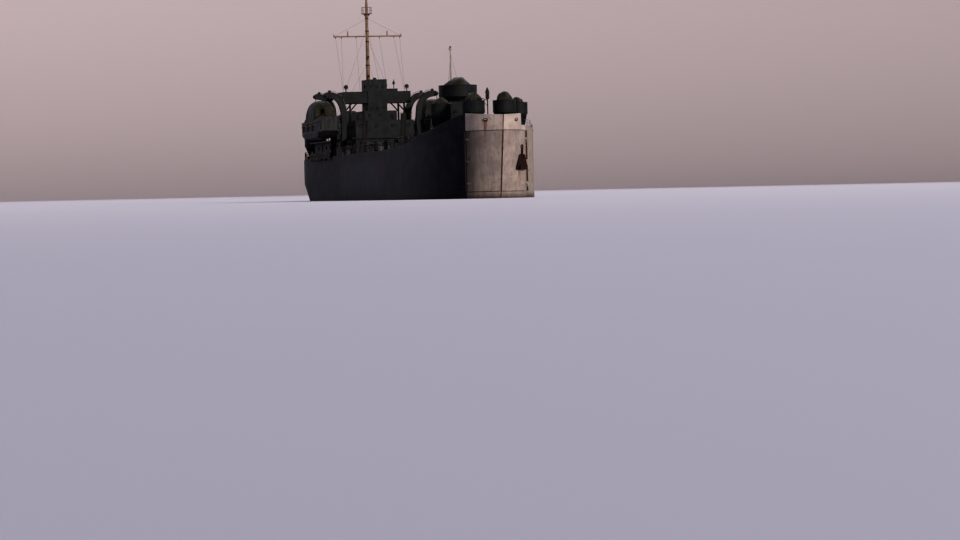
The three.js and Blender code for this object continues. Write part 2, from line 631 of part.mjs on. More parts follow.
// Two ears with a pin through the arm's heel, standing on the deck
function davitPedestal(station) {
  const { heel, half, pin } = DAVIT;
  const ear = half + 0.02;
  const outline = [[4.9, DECK_Z - 0.1], [5.6, DECK_Z - 0.1], [5.5, 8.3], [5.0, 8.3]];
  const ears = [
    crossPlate(outline, [station - ear - 0.12, station - ear]),
    crossPlate(outline, [station + ear, station + ear + 0.12]),
  ];
  const sole = block([station - 0.45, station + 0.45], [4.85, 5.65], [DECK_Z - 0.1, DECK_Z + 0.06]);
  const rod = bar([station - ear - 0.1, ...heel], [station + ear + 0.1, ...heel], pin, 16);
  return join([...ears, sole, rod]);
}

// A fall: an eye on the head's pin, the rope and its block, and two sling legs down to the gunwales
const BOAT = {
  fore: 64.5, aft: 75.5, centre: 7.55, half: 1.6, keel: 10.0, floor: 10.75, sill: 11.05, wall: 0.13,
};
const FALL_BLOCK = { z0: 13.55, z1: 14.25 };
const SLING_FOOT = { z: 12.75, out: 1.45 };
const fallStation = (station) => station - DAVIT.half - 0.15;
function fall(station) {
  const [b, z] = DAVIT.head;
  const at = fallStation(station);
  const eye = bar([at - 0.07, b, z], [at + 0.07, b, z], 0.21, 16).subtract(
    bar([at - 1, b, z], [at + 1, b, z], DAVIT.pin + BORE, 16),
  );
  const rope = bar([at, b, z - 0.15], [at, b, FALL_BLOCK.z0], 0.05, 8);
  const tackle = block([at - 0.14, at + 0.14], [b - 0.2, b + 0.2], [FALL_BLOCK.z0, FALL_BLOCK.z1]);
  const legs = [-1, 1].map((side) =>
    bar([at, b, FALL_BLOCK.z0 + 0.1], [at, b + side * SLING_FOOT.out, SLING_FOOT.z + 0.02], 0.05, 8),
  );
  const floorCut = block([60, 80], [0, 12], [0, SLING_FOOT.z + SEAT]);
  return join([eye, rope, tackle, ...legs]).subtract(floorCut);
}

// The landing boats on the davits: outlines in side view and in plan
const GUNWALE = [[75.5, 12.45], [70, 12.4], [67, 12.6]]; // the top edge from the stern to the bow's rise
const BOAT_SIDE = [
  [64.5, 13.0], [64.95, 11.1], [66.2, 10.5], [68.5, 10.05], [71, 10.0], [75.5, 10.3], ...GUNWALE,
];
const boatPlan = (wall) => {
  const c = BOAT.centre;
  const port = [[BOAT.fore, 1.3], [66.4, 1.55], [68, BOAT.half], [73, BOAT.half], [BOAT.aft - wall, 1.42]];
  const starboard = port.map(([s, b]) => [s, c - b + wall]).reverse();
  return [...port.map(([s, b]) => [s, c + b - wall]), ...starboard];
};
const BOAT_RAMP = { axis: [65.0, 11.16], half: 1.1, thickness: 0.12, top: 12.95 };
function boatHull() {
  const { fore, aft, centre, half, keel, floor, wall } = BOAT;
  const section = [
    [centre, keel - LAP], [centre + half * 0.72, keel + 0.32],
    [centre + half, keel + 0.95], [centre + half, 14],
  ];
  const farSide = section.slice(1).reverse().map(([b, z]) => [2 * centre - b, z]);
  const bilge = crossPlate([...section, ...farSide], [fore - 0.2, aft + 0.2]);
  const plan = planPlate(boatPlan(0).reverse(), [9, 14]);
  const shell = plan.intersect(sidePlate(BOAT_SIDE, [0, 12])).intersect(bilge);
  const hold = join([
    planPlate(boatPlan(wall).reverse(), [floor, 15]).intersect(block([66.4, 80], [0, 12], [0, 15])),
    planPlate(boatPlan(wall).reverse(), [BOAT.sill, 15]).intersect(block([60, 66.41], [0, 12], [0, 15])),
  ]);
  const ears = [-1, 1].map((side) => {
    const breadths = [BOAT_RAMP.half + SEAT, BOAT_RAMP.half + 0.2].map((b) => centre + side * b);
    breadths.sort((a, b) => a - b);
    return block([64.92, 65.2], breadths, [BOAT.sill - 0.02, BOAT_RAMP.axis[1] + 0.1]);
  });
  const engine = block([71.3, 73.1], [centre - 0.62, centre + 0.62], [floor - 0.05, 11.85]);
  const coxswain = block([73.9, 75.4], [centre - 1.4, centre + 1.4], [floor - 0.05, 12.0]);
  const pads = DAVIT.stations.flatMap((station) =>
    [-1, 1].map((side) => {
      const at = fallStation(station);
      const b = centre + side * SLING_FOOT.out;
      return block([at - 0.15, at + 0.15], [b - 0.1, b + 0.1], [12.0, SLING_FOOT.z]);
    }),
  );
  const length = block([64.9, 75.6], [0, 12], [11, 12]);
  const rubbing = planPlate(boatPlan(-0.07).reverse(), [11.75, 11.9]).intersect(length);
  return join([shell, rubbing]).subtract(hold).add(join([engine, coxswain, ...ears, ...pads]));
}

function boatRamp() {
  const { axis, half, thickness, top } = BOAT_RAMP;
  const c = BOAT.centre;
  const [pivot, sill] = axis;
  const head = pivot - 0.46;
  const face = sidePlate(
    [[pivot - 0.09, sill], [head, top], [head + thickness, top], [pivot + thickness - 0.03, sill]],
    [c - half, c + half],
  );
  const rib = [
    [pivot - 0.15, sill + 0.2], [head - 0.04, top - 0.1],
    [head + 0.06, top - 0.1], [pivot - 0.02, sill + 0.2],
  ];
  const ribs = [-0.6, 0, 0.6].map((d) => sidePlate(rib, [c + d - 0.05, c + d + 0.05]));
  const barrel = bar([pivot, c - half, sill], [pivot, c + half, sill], 0.08, 12);
  return join([face, barrel, ...ribs]);
}

// A canvas cover over hoops, standing on the gunwales between the falls: [from, to, ridge], low at its ends
const BOAT_COVER = {
  wall: 0.1, overhang: 0.04, lengths: [[67.1, 72.7, 14.3], [67.5, 72.2, 14.9], [68.1, 71.5, 15.2]],
};
function coverArch(ridge, wall) {
  const half = BOAT.half + BOAT_COVER.overhang - wall;
  const top = ridge - wall;
  const port = [
    [half, 12], [half, 13.1], [half * 0.93, 13.7], [half * 0.72, top - 0.35], [half * 0.35, top - 0.05],
  ];
  const starboard = port.map(([b, z]) => [-b, z]).reverse();
  return [...port, ...starboard].map(([b, z]) => [BOAT.centre + b, z]);
}
function boatCover() {
  const { wall, lengths } = BOAT_COVER;
  const outside = join(lengths.map(([from, to, ridge]) => crossPlate(coverArch(ridge, 0), [from, to])));
  const inside = join(
    lengths.map(([from, to, ridge]) => crossPlate(coverArch(ridge, wall), [from + wall, to - wall])),
  );
  const [aft, middle, fore] = GUNWALE.map(([s, z]) => [s, z + SEAT]);
  const below = sidePlate([[fore[0], 9], [aft[0], 9], aft, middle, fore], [0, 12]);
  return outside.subtract(inside).subtract(below);
}

// Shafts, struts, screws and rudders under the stern
const SCREW = { station: 91.0, radius: 1.06, hub: 0.3, half: 0.38, blades: 3 };
const SHAFT = {
  breadth: 3.0, z: 1.35, radius: 0.16, fore: 79.5, aft: SCREW.station - SCREW.half - SEAT, strut: 89.9,
};
const RUDDER = { station: 93.6, fore: 92.75, aft: 95.1, z0: 0.4, z1: 2.55, half: 0.1, stock: 0.13 };
function shaftWithStrut() {
  const { breadth, z, radius, fore, aft, strut } = SHAFT;
  const shaft = bar([fore, breadth, z], [aft, breadth, z], radius, 14);
  const boss = bar([strut - 0.45, breadth, z], [strut + 0.4, breadth, z], radius + 0.14, 14);
  return join([shaft, boss, ...strutLegs()]).subtract(hullForm.translate([0, 0, -SEAT]));
}
function strutLegs() {
  const { breadth, z, strut } = SHAFT;
  return [-0.85, 0.85].map((lean) =>
    crossPlate(
      [[breadth - 0.07, z], [breadth + 0.07, z], [breadth + lean + 0.07, 3.4], [breadth + lean - 0.07, 3.4]],
      [strut - 0.25, strut + 0.25],
    ),
  );
}

// A blade's outline: how far along the boss in metres, and how far out as a share of the radius
const BLADE = [
  [-0.2, 0.094], [0.2, 0.094], [0.5, 0.519], [0.42, 0.802],
  [0.15, 0.981], [-0.15, 0.981], [-0.42, 0.802], [-0.5, 0.519],
];
const BLADE_PITCH = 0.62; // radians off the ship's length

// The screw: a boss with its blades, each a plate set at the screw's pitch
function screw() {
  const { station, radius, hub, half, blades } = SCREW;
  const { breadth, z } = SHAFT;
  const boss = bar([station - half, 0, 0], [station + half, 0, 0], hub, 18);
  const blade = () => {
    const plate = new THREE.ExtrudeGeometry(
      new THREE.Shape().setFromPoints(
        BLADE.map(([u, r]) => new THREE.Vector2(u, r * radius)),
      ),
      { depth: 0.07, bevelEnabled: false },
    );
    plate.translate(0, 0, -0.035);
    plate.rotateX(Math.PI / 2);
    plate.rotateZ(BLADE_PITCH);
    return plate;
  };
  const turn = (i) => {
    const geometry = blade();
    geometry.rotateX((i * 2 * Math.PI) / blades);
    geometry.translate(along(station), 0, 0);
    return solid(geometry);
  };
  const all = join([boss, ...[...Array(blades).keys()].map(turn)]);
  return all.translate([0, breadth, z]);
}

function rudder() {
  const { station, fore, aft, z0, z1, half, stock } = RUDDER;
  const { breadth } = SHAFT;
  const blade = planPlate(
    [
      [fore, breadth], [fore + 0.3, breadth - half], [station + 0.4, breadth - half], [aft, breadth - 0.02],
      [aft, breadth + 0.02], [station + 0.4, breadth + half], [fore + 0.3, breadth + half],
    ],
    [z0, z1],
  );
  const stem = post(station, breadth, [z1 - 0.3, keelAt(station - stock) - SEAT], stock, { sides: 14 });
  return blade.add(stem);
}

// Ground tackle
const ANCHOR = { rise: 2.7, half: 1.05, thick: 0.24 };
function anchorShape() {
  const { rise, half, thick } = ANCHOR;
  const outline = [
    [-0.12, rise], [-0.14, 0.95], [-0.34, 1.9], [-0.62, 1.75], [-half, 0.35], [-half, 0],
    [half, 0], [half, 0.35], [0.62, 1.75], [0.34, 1.9], [0.14, 0.95], [0.12, rise],
  ];
  const shape = new THREE.Shape(outline.reverse().map(([u, z]) => new THREE.Vector2(u, z)));
  const plate = new THREE.ExtrudeGeometry(shape, { depth: thick, bevelEnabled: false });
  const crown = new THREE.BoxGeometry(1.5, 0.42, 0.5);
  crown.translate(0, 0.24, 0.25);
  const ring = new THREE.TorusGeometry(0.22, 0.07, 8, 14);
  ring.translate(0, rise + 0.1, thick / 2);
  return join([solid(plate), solid(crown), solid(ring)]);
}

// The bow anchor lies against the port door's plating; its local z points outboard from the plate
const BOW_ANCHOR = { station: 3.0, z: 4.35 };
const STERN_ANCHOR = { z: 5.75, size: 0.8 };
function bowAnchor() {
  const { station, z } = BOW_ANCHOR;
  const top = z + ANCHOR.rise;
  const a = new THREE.Vector3(along(station), shellAt(station, z), z);
  const slope = station + 0.25;
  const b = new THREE.Vector3(along(slope), shellAt(slope, z), z);
  const upFoot = new THREE.Vector3(along(station), shellAt(station, top), top);
  const right = b.clone().sub(a).normalize();
  const rough = upFoot.clone().sub(a).normalize();
  const out = rough.clone().cross(right).normalize();
  if (out.y < 0) out.negate();
  const up = out.clone().cross(right).normalize();
  if (up.z < 0) up.negate();
  const across = up.clone().cross(out);
  const frame = new THREE.Matrix4().makeBasis(across, up, out).setPosition(a);
  const placed = anchorShape().transform(frame.elements);
  return placed.subtract(outerForm.translate([out.x * SEAT, out.y * SEAT, out.z * SEAT]));
}

function sternAnchor() {
  const frame = new THREE.Matrix4().makeBasis(
    new THREE.Vector3(0, -1, 0), new THREE.Vector3(0, 0, 1), new THREE.Vector3(-1, 0, 0),
  );
  frame.setPosition(along(LENGTH) - SEAT, 0, STERN_ANCHOR.z);
  const { size } = STERN_ANCHOR;
  return anchorShape().scale([size, size, size]).transform(frame.elements);
}

const WINDLASS = { station: 11.2, half: 1.35 };
function windlass() {
  const { station, half } = WINDLASS;
  const deck = deckAt(station);
  const bed = block([station - 0.9, station + 0.9], [-half, half], [deck - 0.4, deck + 0.25]);
  const cheeks = [-0.75, 0.75].map((b) =>
    block([station - 0.45, station + 0.45], [b - 0.09, b + 0.09], [deck, deck + 1.1]),
  );
  const axle = deck + 0.8;
  const barrel = bar([station, -half, axle], [station, half, axle], 0.22, 14);
  const heads = [-1, 1].map((side) =>
    bar([station, side * 0.95, axle], [station, side * half, axle], 0.36, 14),
  );
  const wheel = bar([station, -0.35, axle], [station, 0.35, axle], 0.42, 14);
  return onDeck(join([bed, ...cheeks, barrel, ...heads, wheel]));
}

const WINCH = { station: 96.3, half: 1.3 };
function sternWinch() {
  const { station, half } = WINCH;
  const deck = DECK_Z + SEAT;
  const axle = deck + 1.05;
  const bed = block([station - 1.1, station + 1.1], [-half, half], [deck, deck + 0.3]);
  const cheeks = [-half, half].map((b) =>
    block([station - 0.5, station + 0.5], [b - 0.1, b + 0.1], [deck, axle + 0.2]),
  );
  const drum = bar([station, -half, axle], [station, half, axle], 0.5, 18);
  const flanges = [-0.9, 0.9].map((b) => bar([station, b - 0.06, axle], [station, b + 0.06, axle], 0.8, 18));
  return join([bed, ...cheeks, drum, ...flanges]);
}

const group = new THREE.Group();
group.scale.setScalar(MODEL_MM_PER_METRE);

const PAINT = {
  hull: [0x8d8a8c, 0.7, 0.0],
  bottom: [0x4b3a38, 0.8, 0.0],
  upper: [0x2f3236, 0.75, 0.0],
  canvas: [0x2c2d26, 0.95, 0.0],
  steel: [0x55504c, 0.6, 0.3],
  bronze: [0x8a6a3a, 0.4, 0.9],
};

function add(name, manifold, paint) {
  const [color, roughness, metalness] = PAINT[paint];
  const material = new THREE.MeshStandardMaterial({ color, roughness, metalness });
  const mesh = new THREE.Mesh(geometryOf(manifold), material);
  mesh.name = name;
  group.add(mesh);
}
function addPair(name, manifold, paint) {
  add(`${name}_port`, manifold, paint);
  add(`${name}_starboard`, mirrored(manifold), paint);
}

add("hull_bottom", hullBottom(), "bottom");
addPair("hull_side", hullSide(), "hull");
add("main_deck", mainDeck(), "hull");
add("hull_stern", hullStern(), "hull");
addPair("bow_door", bowDoor(), "hull");
add("bow_ramp", bowRamp(), "steel");
add("bulwark_port", cutDownBulwark(), "hull");
add("bulwark_starboard", mirrored(bulwark()), "hull");
for (const name of ["fore_tub", "side_tub", "quarter_tub"]) {
  addPair(name, onDeck(tub(TUBS[name])), "upper");
  addPair(name.replace("tub", "cover"), cover(TUBS[name], COVERS[name]), "canvas");
}
add("centre_tub", centreTub(), "upper");
add("centre_cover", cover(TUBS.centre_tub, COVERS.centre_tub), "canvas");
add("stern_tub", tub(TUBS.stern_tub), "upper");
add("stern_cover", cover(TUBS.stern_tub, COVERS.stern_tub), "canvas");
add("light_mast", lightMast(), "steel");
add("cargo_hatch", cargoHatch(), "upper");
addPair("deck_vents", deckVents(), "hull");
add("deckhouse_lower", lowerHouse(), "upper");
add("deckhouse_upper", upperHouse(), "upper");
add("conning_tower", conningTower(), "upper");
add("bridge_wings", bridgeWings(), "upper");
add("main_mast", mainMast(), "steel");
add("radar", radar(), "steel");

add("bow_windlass", windlass(), "steel");
add("bow_anchor", bowAnchor(), "steel");
add("stern_winch", sternWinch(), "steel");
add("stern_anchor", sternAnchor(), "steel");
addPair("shaft", shaftWithStrut(), "steel");
addPair("propeller", screw(), "bronze");
addPair("rudder", rudder(), "bottom");
DAVIT.stations.forEach((station, i) => {
  const place = ["fore", "aft"][i];
  addPair(`davit_${place}`, davitArm(station), "steel");
  addPair(`boat_fall_${place}`, fall(station), "steel");
});
addPair("boat_hull", boatHull(), "upper");
addPair("boat_ramp", boatRamp(), "upper");
addPair("boat_cover", boatCover(), "canvas");

export default group;
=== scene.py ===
"""The looks of a 1:10 tank landing ship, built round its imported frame.

Lengths named in ship's metres are those of the real ship. M turns them to metres of the model.
Stations are counted aft from the stem head, breadths to port, heights from the flat bottom.
"""
import math

import bmesh
import bpy
import numpy as np
from mathutils import Matrix, Vector, noise


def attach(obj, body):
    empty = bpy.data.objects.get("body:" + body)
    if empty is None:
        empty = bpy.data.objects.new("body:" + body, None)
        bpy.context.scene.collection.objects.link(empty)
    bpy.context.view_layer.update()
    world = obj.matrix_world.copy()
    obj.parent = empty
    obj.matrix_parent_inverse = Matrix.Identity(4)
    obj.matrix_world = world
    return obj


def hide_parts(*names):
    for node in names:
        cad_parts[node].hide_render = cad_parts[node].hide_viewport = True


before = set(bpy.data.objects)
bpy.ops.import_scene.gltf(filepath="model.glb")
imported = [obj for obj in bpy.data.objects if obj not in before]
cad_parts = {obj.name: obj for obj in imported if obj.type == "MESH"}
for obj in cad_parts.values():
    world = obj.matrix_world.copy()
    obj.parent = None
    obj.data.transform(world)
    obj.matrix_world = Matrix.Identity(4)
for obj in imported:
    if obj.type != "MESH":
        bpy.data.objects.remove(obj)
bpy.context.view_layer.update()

M = 0.1
# Where the stem head is on the frame's x, in ship's metres
BOW_X = 50.0
HULL = "hull"
PORT, STARBOARD = 1, -1
SIDES = {"port": PORT, "starboard": STARBOARD}

# Hull form, from the same driving dimensions as the frame's solids
LENGTH = 100.0
HALF_BEAM = 7.62
BILGE = 1.3
STEM_TOP, STEM_FOOT, RAKE = 11.0, 0.9, 2.2
DOOR_EDGE = 4.2
DOOR_LOW, DOOR_HIGH = 1.76, 9.14
WELL_FLOOR, WELL_TOP = 1.7, 9.205
DECK = 7.67
DECK_FORWARD = 9.6
OUTLINE = [
    (0, 0), (0.28, 0.52), (0.72, 1.18), (1.5, 2.08), (2.7, 3.0), (DOOR_EDGE, 3.75), (5.1, 4.24), (6, 4.7),
    (7.2, 5.22), (8.5, 5.7), (11, 6.43), (14, 7.0), (18, 7.42), (23, HALF_BEAM), (40, HALF_BEAM),
    (60, HALF_BEAM), (74, HALF_BEAM), (80, 7.45), (85, 6.75), (89, 5.85), (92.5, 5.0), (95.2, 4.25),
    (97.3, 3.5), (98.8, 2.7), (99.6, 1.8), (LENGTH, 0.9),
]
SHEER = [(0, 9.6), (7, 9.6), (12, 8.95), (18, 8.35), (26, 7.9), (34, DECK), (LENGTH, DECK)]
KEEL = [
    (RAKE, STEM_FOOT), (5, 0.5), (9, 0.2), (15, 0), (74, 0), (88, 2.7), (97, 3.6), (99.3, 4.6),
    (LENGTH, 5.6),
]
BULWARK_TOP = [
    (0, STEM_TOP), (2, 11.15), (4.2, 11.3), (6, 10.9), (9, 10.1), (12, 9.4), (15, 9.1), (17, 8.75),
]
# Ends and sill height of the gap in the port bulwark, beside the anchor
PORT_GAP = (2.35, 9.2, 9.75)
# (station, height) of the waterline near the stem and near the stern
WATER_FORE, WATER_AFT = (2, 0.9), (97, 2.3)
# A change of direction above this shows as an edge
SHARP = math.radians(35)


def place(station, breadth, height):
    return Vector(((BOW_X - station) * M, breadth * M, height * M))


def look_up(table, station):
    stations, values = zip(*table)
    return float(np.interp(station, stations, values))


def deck_at(station):
    return look_up(SHEER, station)


def keel_at(station):
    return look_up(KEEL, station)


def smooth_curve(points):
    """A monotone cubic through the points, never inside their chords: one fair curve over the facets."""
    x, y = (np.array(v, float) for v in zip(*points))
    step, slope = np.diff(x), np.diff(y) / np.diff(x)
    product, total = slope[1:] * slope[:-1], slope[1:] + slope[:-1]
    inner = np.where(product > 0, 2 * product / (total + 1e-12), 0)
    tangent = np.concatenate([[slope[0]], inner, [slope[-1]]])

    def value(at):
        i = int(np.clip(np.searchsorted(x, at) - 1, 0, len(step) - 1))
        t, h = (at - x[i]) / step[i], step[i]
        a, b = y[i] * (1 + 2 * t) * (1 - t) ** 2, tangent[i] * h * t * (1 - t) ** 2
        cubic = a + b + y[i + 1] * t * t * (3 - 2 * t) + tangent[i + 1] * h * t * t * (t - 1)
        return max(cubic, y[i] + (y[i + 1] - y[i]) * t)

    return value


door_curve = smooth_curve(OUTLINE[:6])
side_curve = smooth_curve(OUTLINE[5:])


def bilge_inset(z):
    return 0 if z >= BILGE else BILGE - math.sqrt(BILGE**2 - (BILGE - max(z, 0)) ** 2)


def stem_at(z):
    return RAKE * (STEM_TOP - z) / (STEM_TOP - STEM_FOOT)


def hull_breadth(station, z):
    """Half-breadth of the plating aft of the door's edge."""
    run = 1 - 0.45 * min(1, max(0, 1 - z / 4.5)) * max(0, (station - 74) / (LENGTH - 74))
    return side_curve(station) * run * (HALF_BEAM - bilge_inset(z)) / HALF_BEAM


def bow_point(sigma, z):
    """A point of the raked bow, where sigma runs from 0 at the stem to the door's edge."""
    stem = stem_at(z)
    breadth = door_curve(sigma) * (HALF_BEAM - bilge_inset(z)) / HALF_BEAM
    return stem + sigma * (DOOR_EDGE - stem) / DOOR_EDGE, breadth


def skin_breadth(station, z):
    if station >= DOOR_EDGE:
        return hull_breadth(station, z)
    stem = stem_at(z)
    return bow_point((station - stem) * DOOR_EDGE / (DOOR_EDGE - stem), z)[1]


def round_turns(count):
    """Angles that step evenly round a full circle."""
    return [2 * math.pi * k / count for k in range(count)]


def oval(middle, first, second, count):
    """Points round an ellipse that has first and second as its half axes."""
    return [middle + first * math.cos(t) + second * math.sin(t) for t in round_turns(count)]


def ring(station, breadth, height, radius, count=48):
    """Points round a level circle."""
    flat = [(radius * math.cos(t), radius * math.sin(t)) for t in round_turns(count)]
    return [(station + s, breadth + b, height) for s, b in flat]


# Colours and material nodes
SMOOTH = {"interpolation_type": "SMOOTHSTEP"}
COLOURS = {"data_type": "RGBA", "out": 2}
SUM = {"operation": "ADD"}
PRODUCT = {"operation": "MULTIPLY"}
SCALED = {"operation": "MULTIPLY_ADD"}
WAVE = math.pi / 10  # a wave texture repeats every WAVE / scale metres


def linear(hex_colour):
    """An sRGB hex colour as the linear colour that a socket takes."""
    channels = [int(hex_colour[i : i + 2], 16) / 255 for i in (1, 3, 5)]
    return [c / 12.92 if c <= 0.04045 else ((c + 0.055) / 1.055) ** 2.4 for c in channels] + [1.0]


def feed(node, inputs):
    """Links each input to the socket that feeds it, or sets it where it is the same all over."""
    for key, value in inputs.items():
        if isinstance(value, bpy.types.NodeSocket):
            node.id_data.links.new(value, node.inputs[key])
        else:
            node.inputs[key].default_value = value


def add(tree, kind, inputs=(), out=0, **settings):
    """Adds a node with its inputs, in order or by key, and its settings, and gives one of its outputs."""
    node = tree.nodes.new("ShaderNode" + kind)
    for name, value in settings.items():
        setattr(node, name, value)
    feed(node, inputs if isinstance(inputs, dict) else dict(enumerate(inputs)))
    return node.outputs[out]


def new_material(name):
    """A material, its node tree, its shader, and the place on the object in metres."""
    material = bpy.data.materials.new(name)
    material.use_nodes = True
    tree = material.node_tree
    where = add(tree, "TexCoord", out=3)
    return material, tree, tree.nodes["Principled BSDF"], where


def grain(tree, where, size_mm, stretch=(1, 1, 1), detail=4.0, roughness=0.55):
    """Noise whose blotches are about size_mm across on the model, drawn out by stretch."""
    drawn = add(tree, "Mapping", {0: where, 3: [1 / s for s in stretch]})
    inputs = {"Vector": drawn, "Scale": 1000 / size_mm, "Detail": detail, "Roughness": roughness}
    return add(tree, "TexNoise", inputs)


def within(tree, *edges):
    """1 inside all of some soft edges, each (value, from, to), or with its shares at from and to as well."""
    share = add(tree, "MapRange", edges[0], **SMOOTH)
    for edge in edges[1:]:
        share = add(tree, "Math", (share, add(tree, "MapRange", edge, **SMOOTH)), **PRODUCT)
    return share


def ragged_station(tree, where, size_mm, reach, stretch=(1, 1, 1), detail=5):
    """The place along the ship, moved to and fro by reach, so that paint or soot ends raggedly."""
    along = add(tree, "SeparateXYZ", (where,))
    blotches = grain(tree, where, size_mm, stretch, detail)
    shift = add(tree, "Math", (blotches, reach, -reach / 2), **SCALED)
    return add(tree, "Math", (along, shift), **SUM)


# Shell plates of about 6 m by 1.8 m and frames 0.61 m apart on the ship, in mm of the model
PLATE_MM = (610, 183)
FRAME_MM = 61
SEAM_MM = 1.2


def plate_seams(tree, where):
    """Each plate's own shade, about middle grey, that is laid over its colour, and its welded seams."""
    along, _, up = add(tree, "SeparateXYZ", (where,)).node.outputs
    inputs = {
        "Vector": add(tree, "CombineXYZ", (along, up)), "Scale": 1.0, "Bias": 0.0,
        "Brick Width": PLATE_MM[0] / 1000, "Row Height": PLATE_MM[1] / 1000,
        "Mortar Size": SEAM_MM / 1000, "Mortar Smooth": 0.6,
        "Color1": (0.35, 0.35, 0.35, 1), "Color2": (0.65, 0.65, 0.65, 1), "Mortar": (0.5, 0.5, 0.5, 1),
    }
    return add(tree, "TexBrick", inputs, offset=0.5).node.outputs


def frame_dents(tree, where):
    """Plating pressed in a little between the frames."""
    inputs = {
        "Vector": where, "Scale": WAVE / (FRAME_MM / 1000), "Distortion": 1.2, "Detail": 1.0,
        "Detail Scale": 2.0,
    }
    ribs = add(tree, "TexWave", inputs, out=1, bands_direction="X", wave_profile="SIN")
    return add(tree, "Math", (ribs, within(tree, (grain(tree, where, 260), 0.3, 0.7))), **PRODUCT)


def above_water(tree, where):
    """Height over the waterline, in metres of the model, along the trimmed ship."""
    along, _, up = add(tree, "SeparateXYZ", (where,)).node.outputs
    (fore, low), (aft, high) = WATER_FORE, WATER_AFT
    slope = (high - low) / (aft - fore)
    level = -(BOW_X - fore) * M * slope - low * M
    return add(tree, "Math", (up, add(tree, "Math", (along, slope, level), **SCALED)), **SUM)


BOTTOM_DARK, BOTTOM_PALE = "#4a302a", "#5d4238"
# Colour of the painted shade on the starboard door by its hinges
HINGE_SHADE = "#34352f"


def below_water(tree, where, colour):
    """Red bottom paint under the waterline, and a band of oil and weed that fades out above it."""
    ragged = add(tree, "Math", (grain(tree, where, 60, detail=6), 0.05, -0.025), **SCALED)
    height = add(tree, "Math", (above_water(tree, where), ragged), **SUM)
    weed = within(tree, (height, 0.0, 0.09, 0.75, 0.0))
    colour = add(tree, "Mix", {0: weed, 6: colour, 7: linear("#26241f")}, **COLOURS)
    blotches = within(tree, (grain(tree, where, 90), 0.35, 0.65))
    red = add(tree, "Mix", {0: blotches, 6: linear(BOTTOM_DARK), 7: linear(BOTTOM_PALE)}, **COLOURS)
    under = within(tree, (height, -0.012, -0.008, 1.0, 0.0))
    return add(tree, "Mix", {0: under, 6: colour, 7: red}, **COLOURS)


# The paler length of the side, and where the bow's pale colour, painted light, ends on the port side, in
# ship's metres
PALER_FORE, PALER_AFT, PALER_LOW, PALER_HIGH = 31, 60, 2.6, 7.3
LIT_BOW_END = 11.2
DOOR_HINGE_X = (BOW_X - DOOR_EDGE) * M


def paler_length(tree, where):
    """A length of the side that is paler than the rest."""
    along = ragged_station(tree, where, 500, reach=0.9)
    up = add(tree, "SeparateXYZ", (where,), out=2)
    fore, aft = (BOW_X - PALER_FORE) * M, (BOW_X - PALER_AFT) * M
    low, high = PALER_LOW * M, PALER_HIGH * M
    return within(
        tree, (along, aft, aft + 0.5), (along, fore - 0.5, fore, 1.0, 0.0), (up, low - 0.1, low + 0.1),
        (up, high - 0.15, high, 0.45, 0.0),
    )


def lit_bow(tree, where):
    """Painted light: the bow's pale colour, carried onto the side up to the doors' hinges, and onto the port
    side, which stands in the light, ending raggedly aft.
    """
    along, port, _ = add(tree, "SeparateXYZ", (where,)).node.outputs
    ragged_end = ragged_station(tree, where, 120, reach=0.9, stretch=(1, 1, 3), detail=6)
    end = (BOW_X - LIT_BOW_END) * M
    side = within(tree, (ragged_end, end - 0.25, end + 0.1), (port, 0.02, 0.06))
    straps = within(tree, (along, DOOR_HINGE_X + 0.014, DOOR_HINGE_X + 0.018))
    return add(tree, "Math", (side, straps), operation="MAXIMUM")


def hinge_shade(tree, where):
    """Painted shade on the starboard door, darkest beside its hinges where the door turns away from the
    light, and streaked upright.
    """
    along = ragged_station(tree, where, 60, reach=0.3, stretch=(1, 1, 6))
    port = add(tree, "SeparateXYZ", (where,), out=1)
    near = (along, DOOR_HINGE_X - 0.02, DOOR_HINGE_X + 0.3, 0.72, 0.0)
    return within(tree, near, (port, -0.1, -0.05, 1.0, 0.0))


def rust_run(tree, where, falls, centre, reach, width, lean):
    """A run of rust below a point, fading downwards.

    Lean is how far the plating falls aft for each unit down.
    """
    height = add(tree, "SeparateXYZ", (where,), out=2)
    offset = add(tree, "VectorMath", (where, centre), operation="SUBTRACT")
    along, across, up = add(tree, "SeparateXYZ", (offset,)).node.outputs
    plumb = add(tree, "Math", (up, -lean, along), **SCALED)
    flat = add(tree, "CombineXYZ", (plumb, across))
    distance = add(tree, "VectorMath", (flat,), out=1, operation="LENGTH")
    head = centre[2]
    return within(
        tree, (distance, width * 0.3, width, 1.0, 0.0), (height, head - reach, head, 0.15, 1.0),
        (height, head, head + width * 0.4, 1.0, 0.0), (height, head - reach * 1.1, head - reach * 0.8),
        (falls, 0.25, 0.55, 0.35, 1.0),
    )


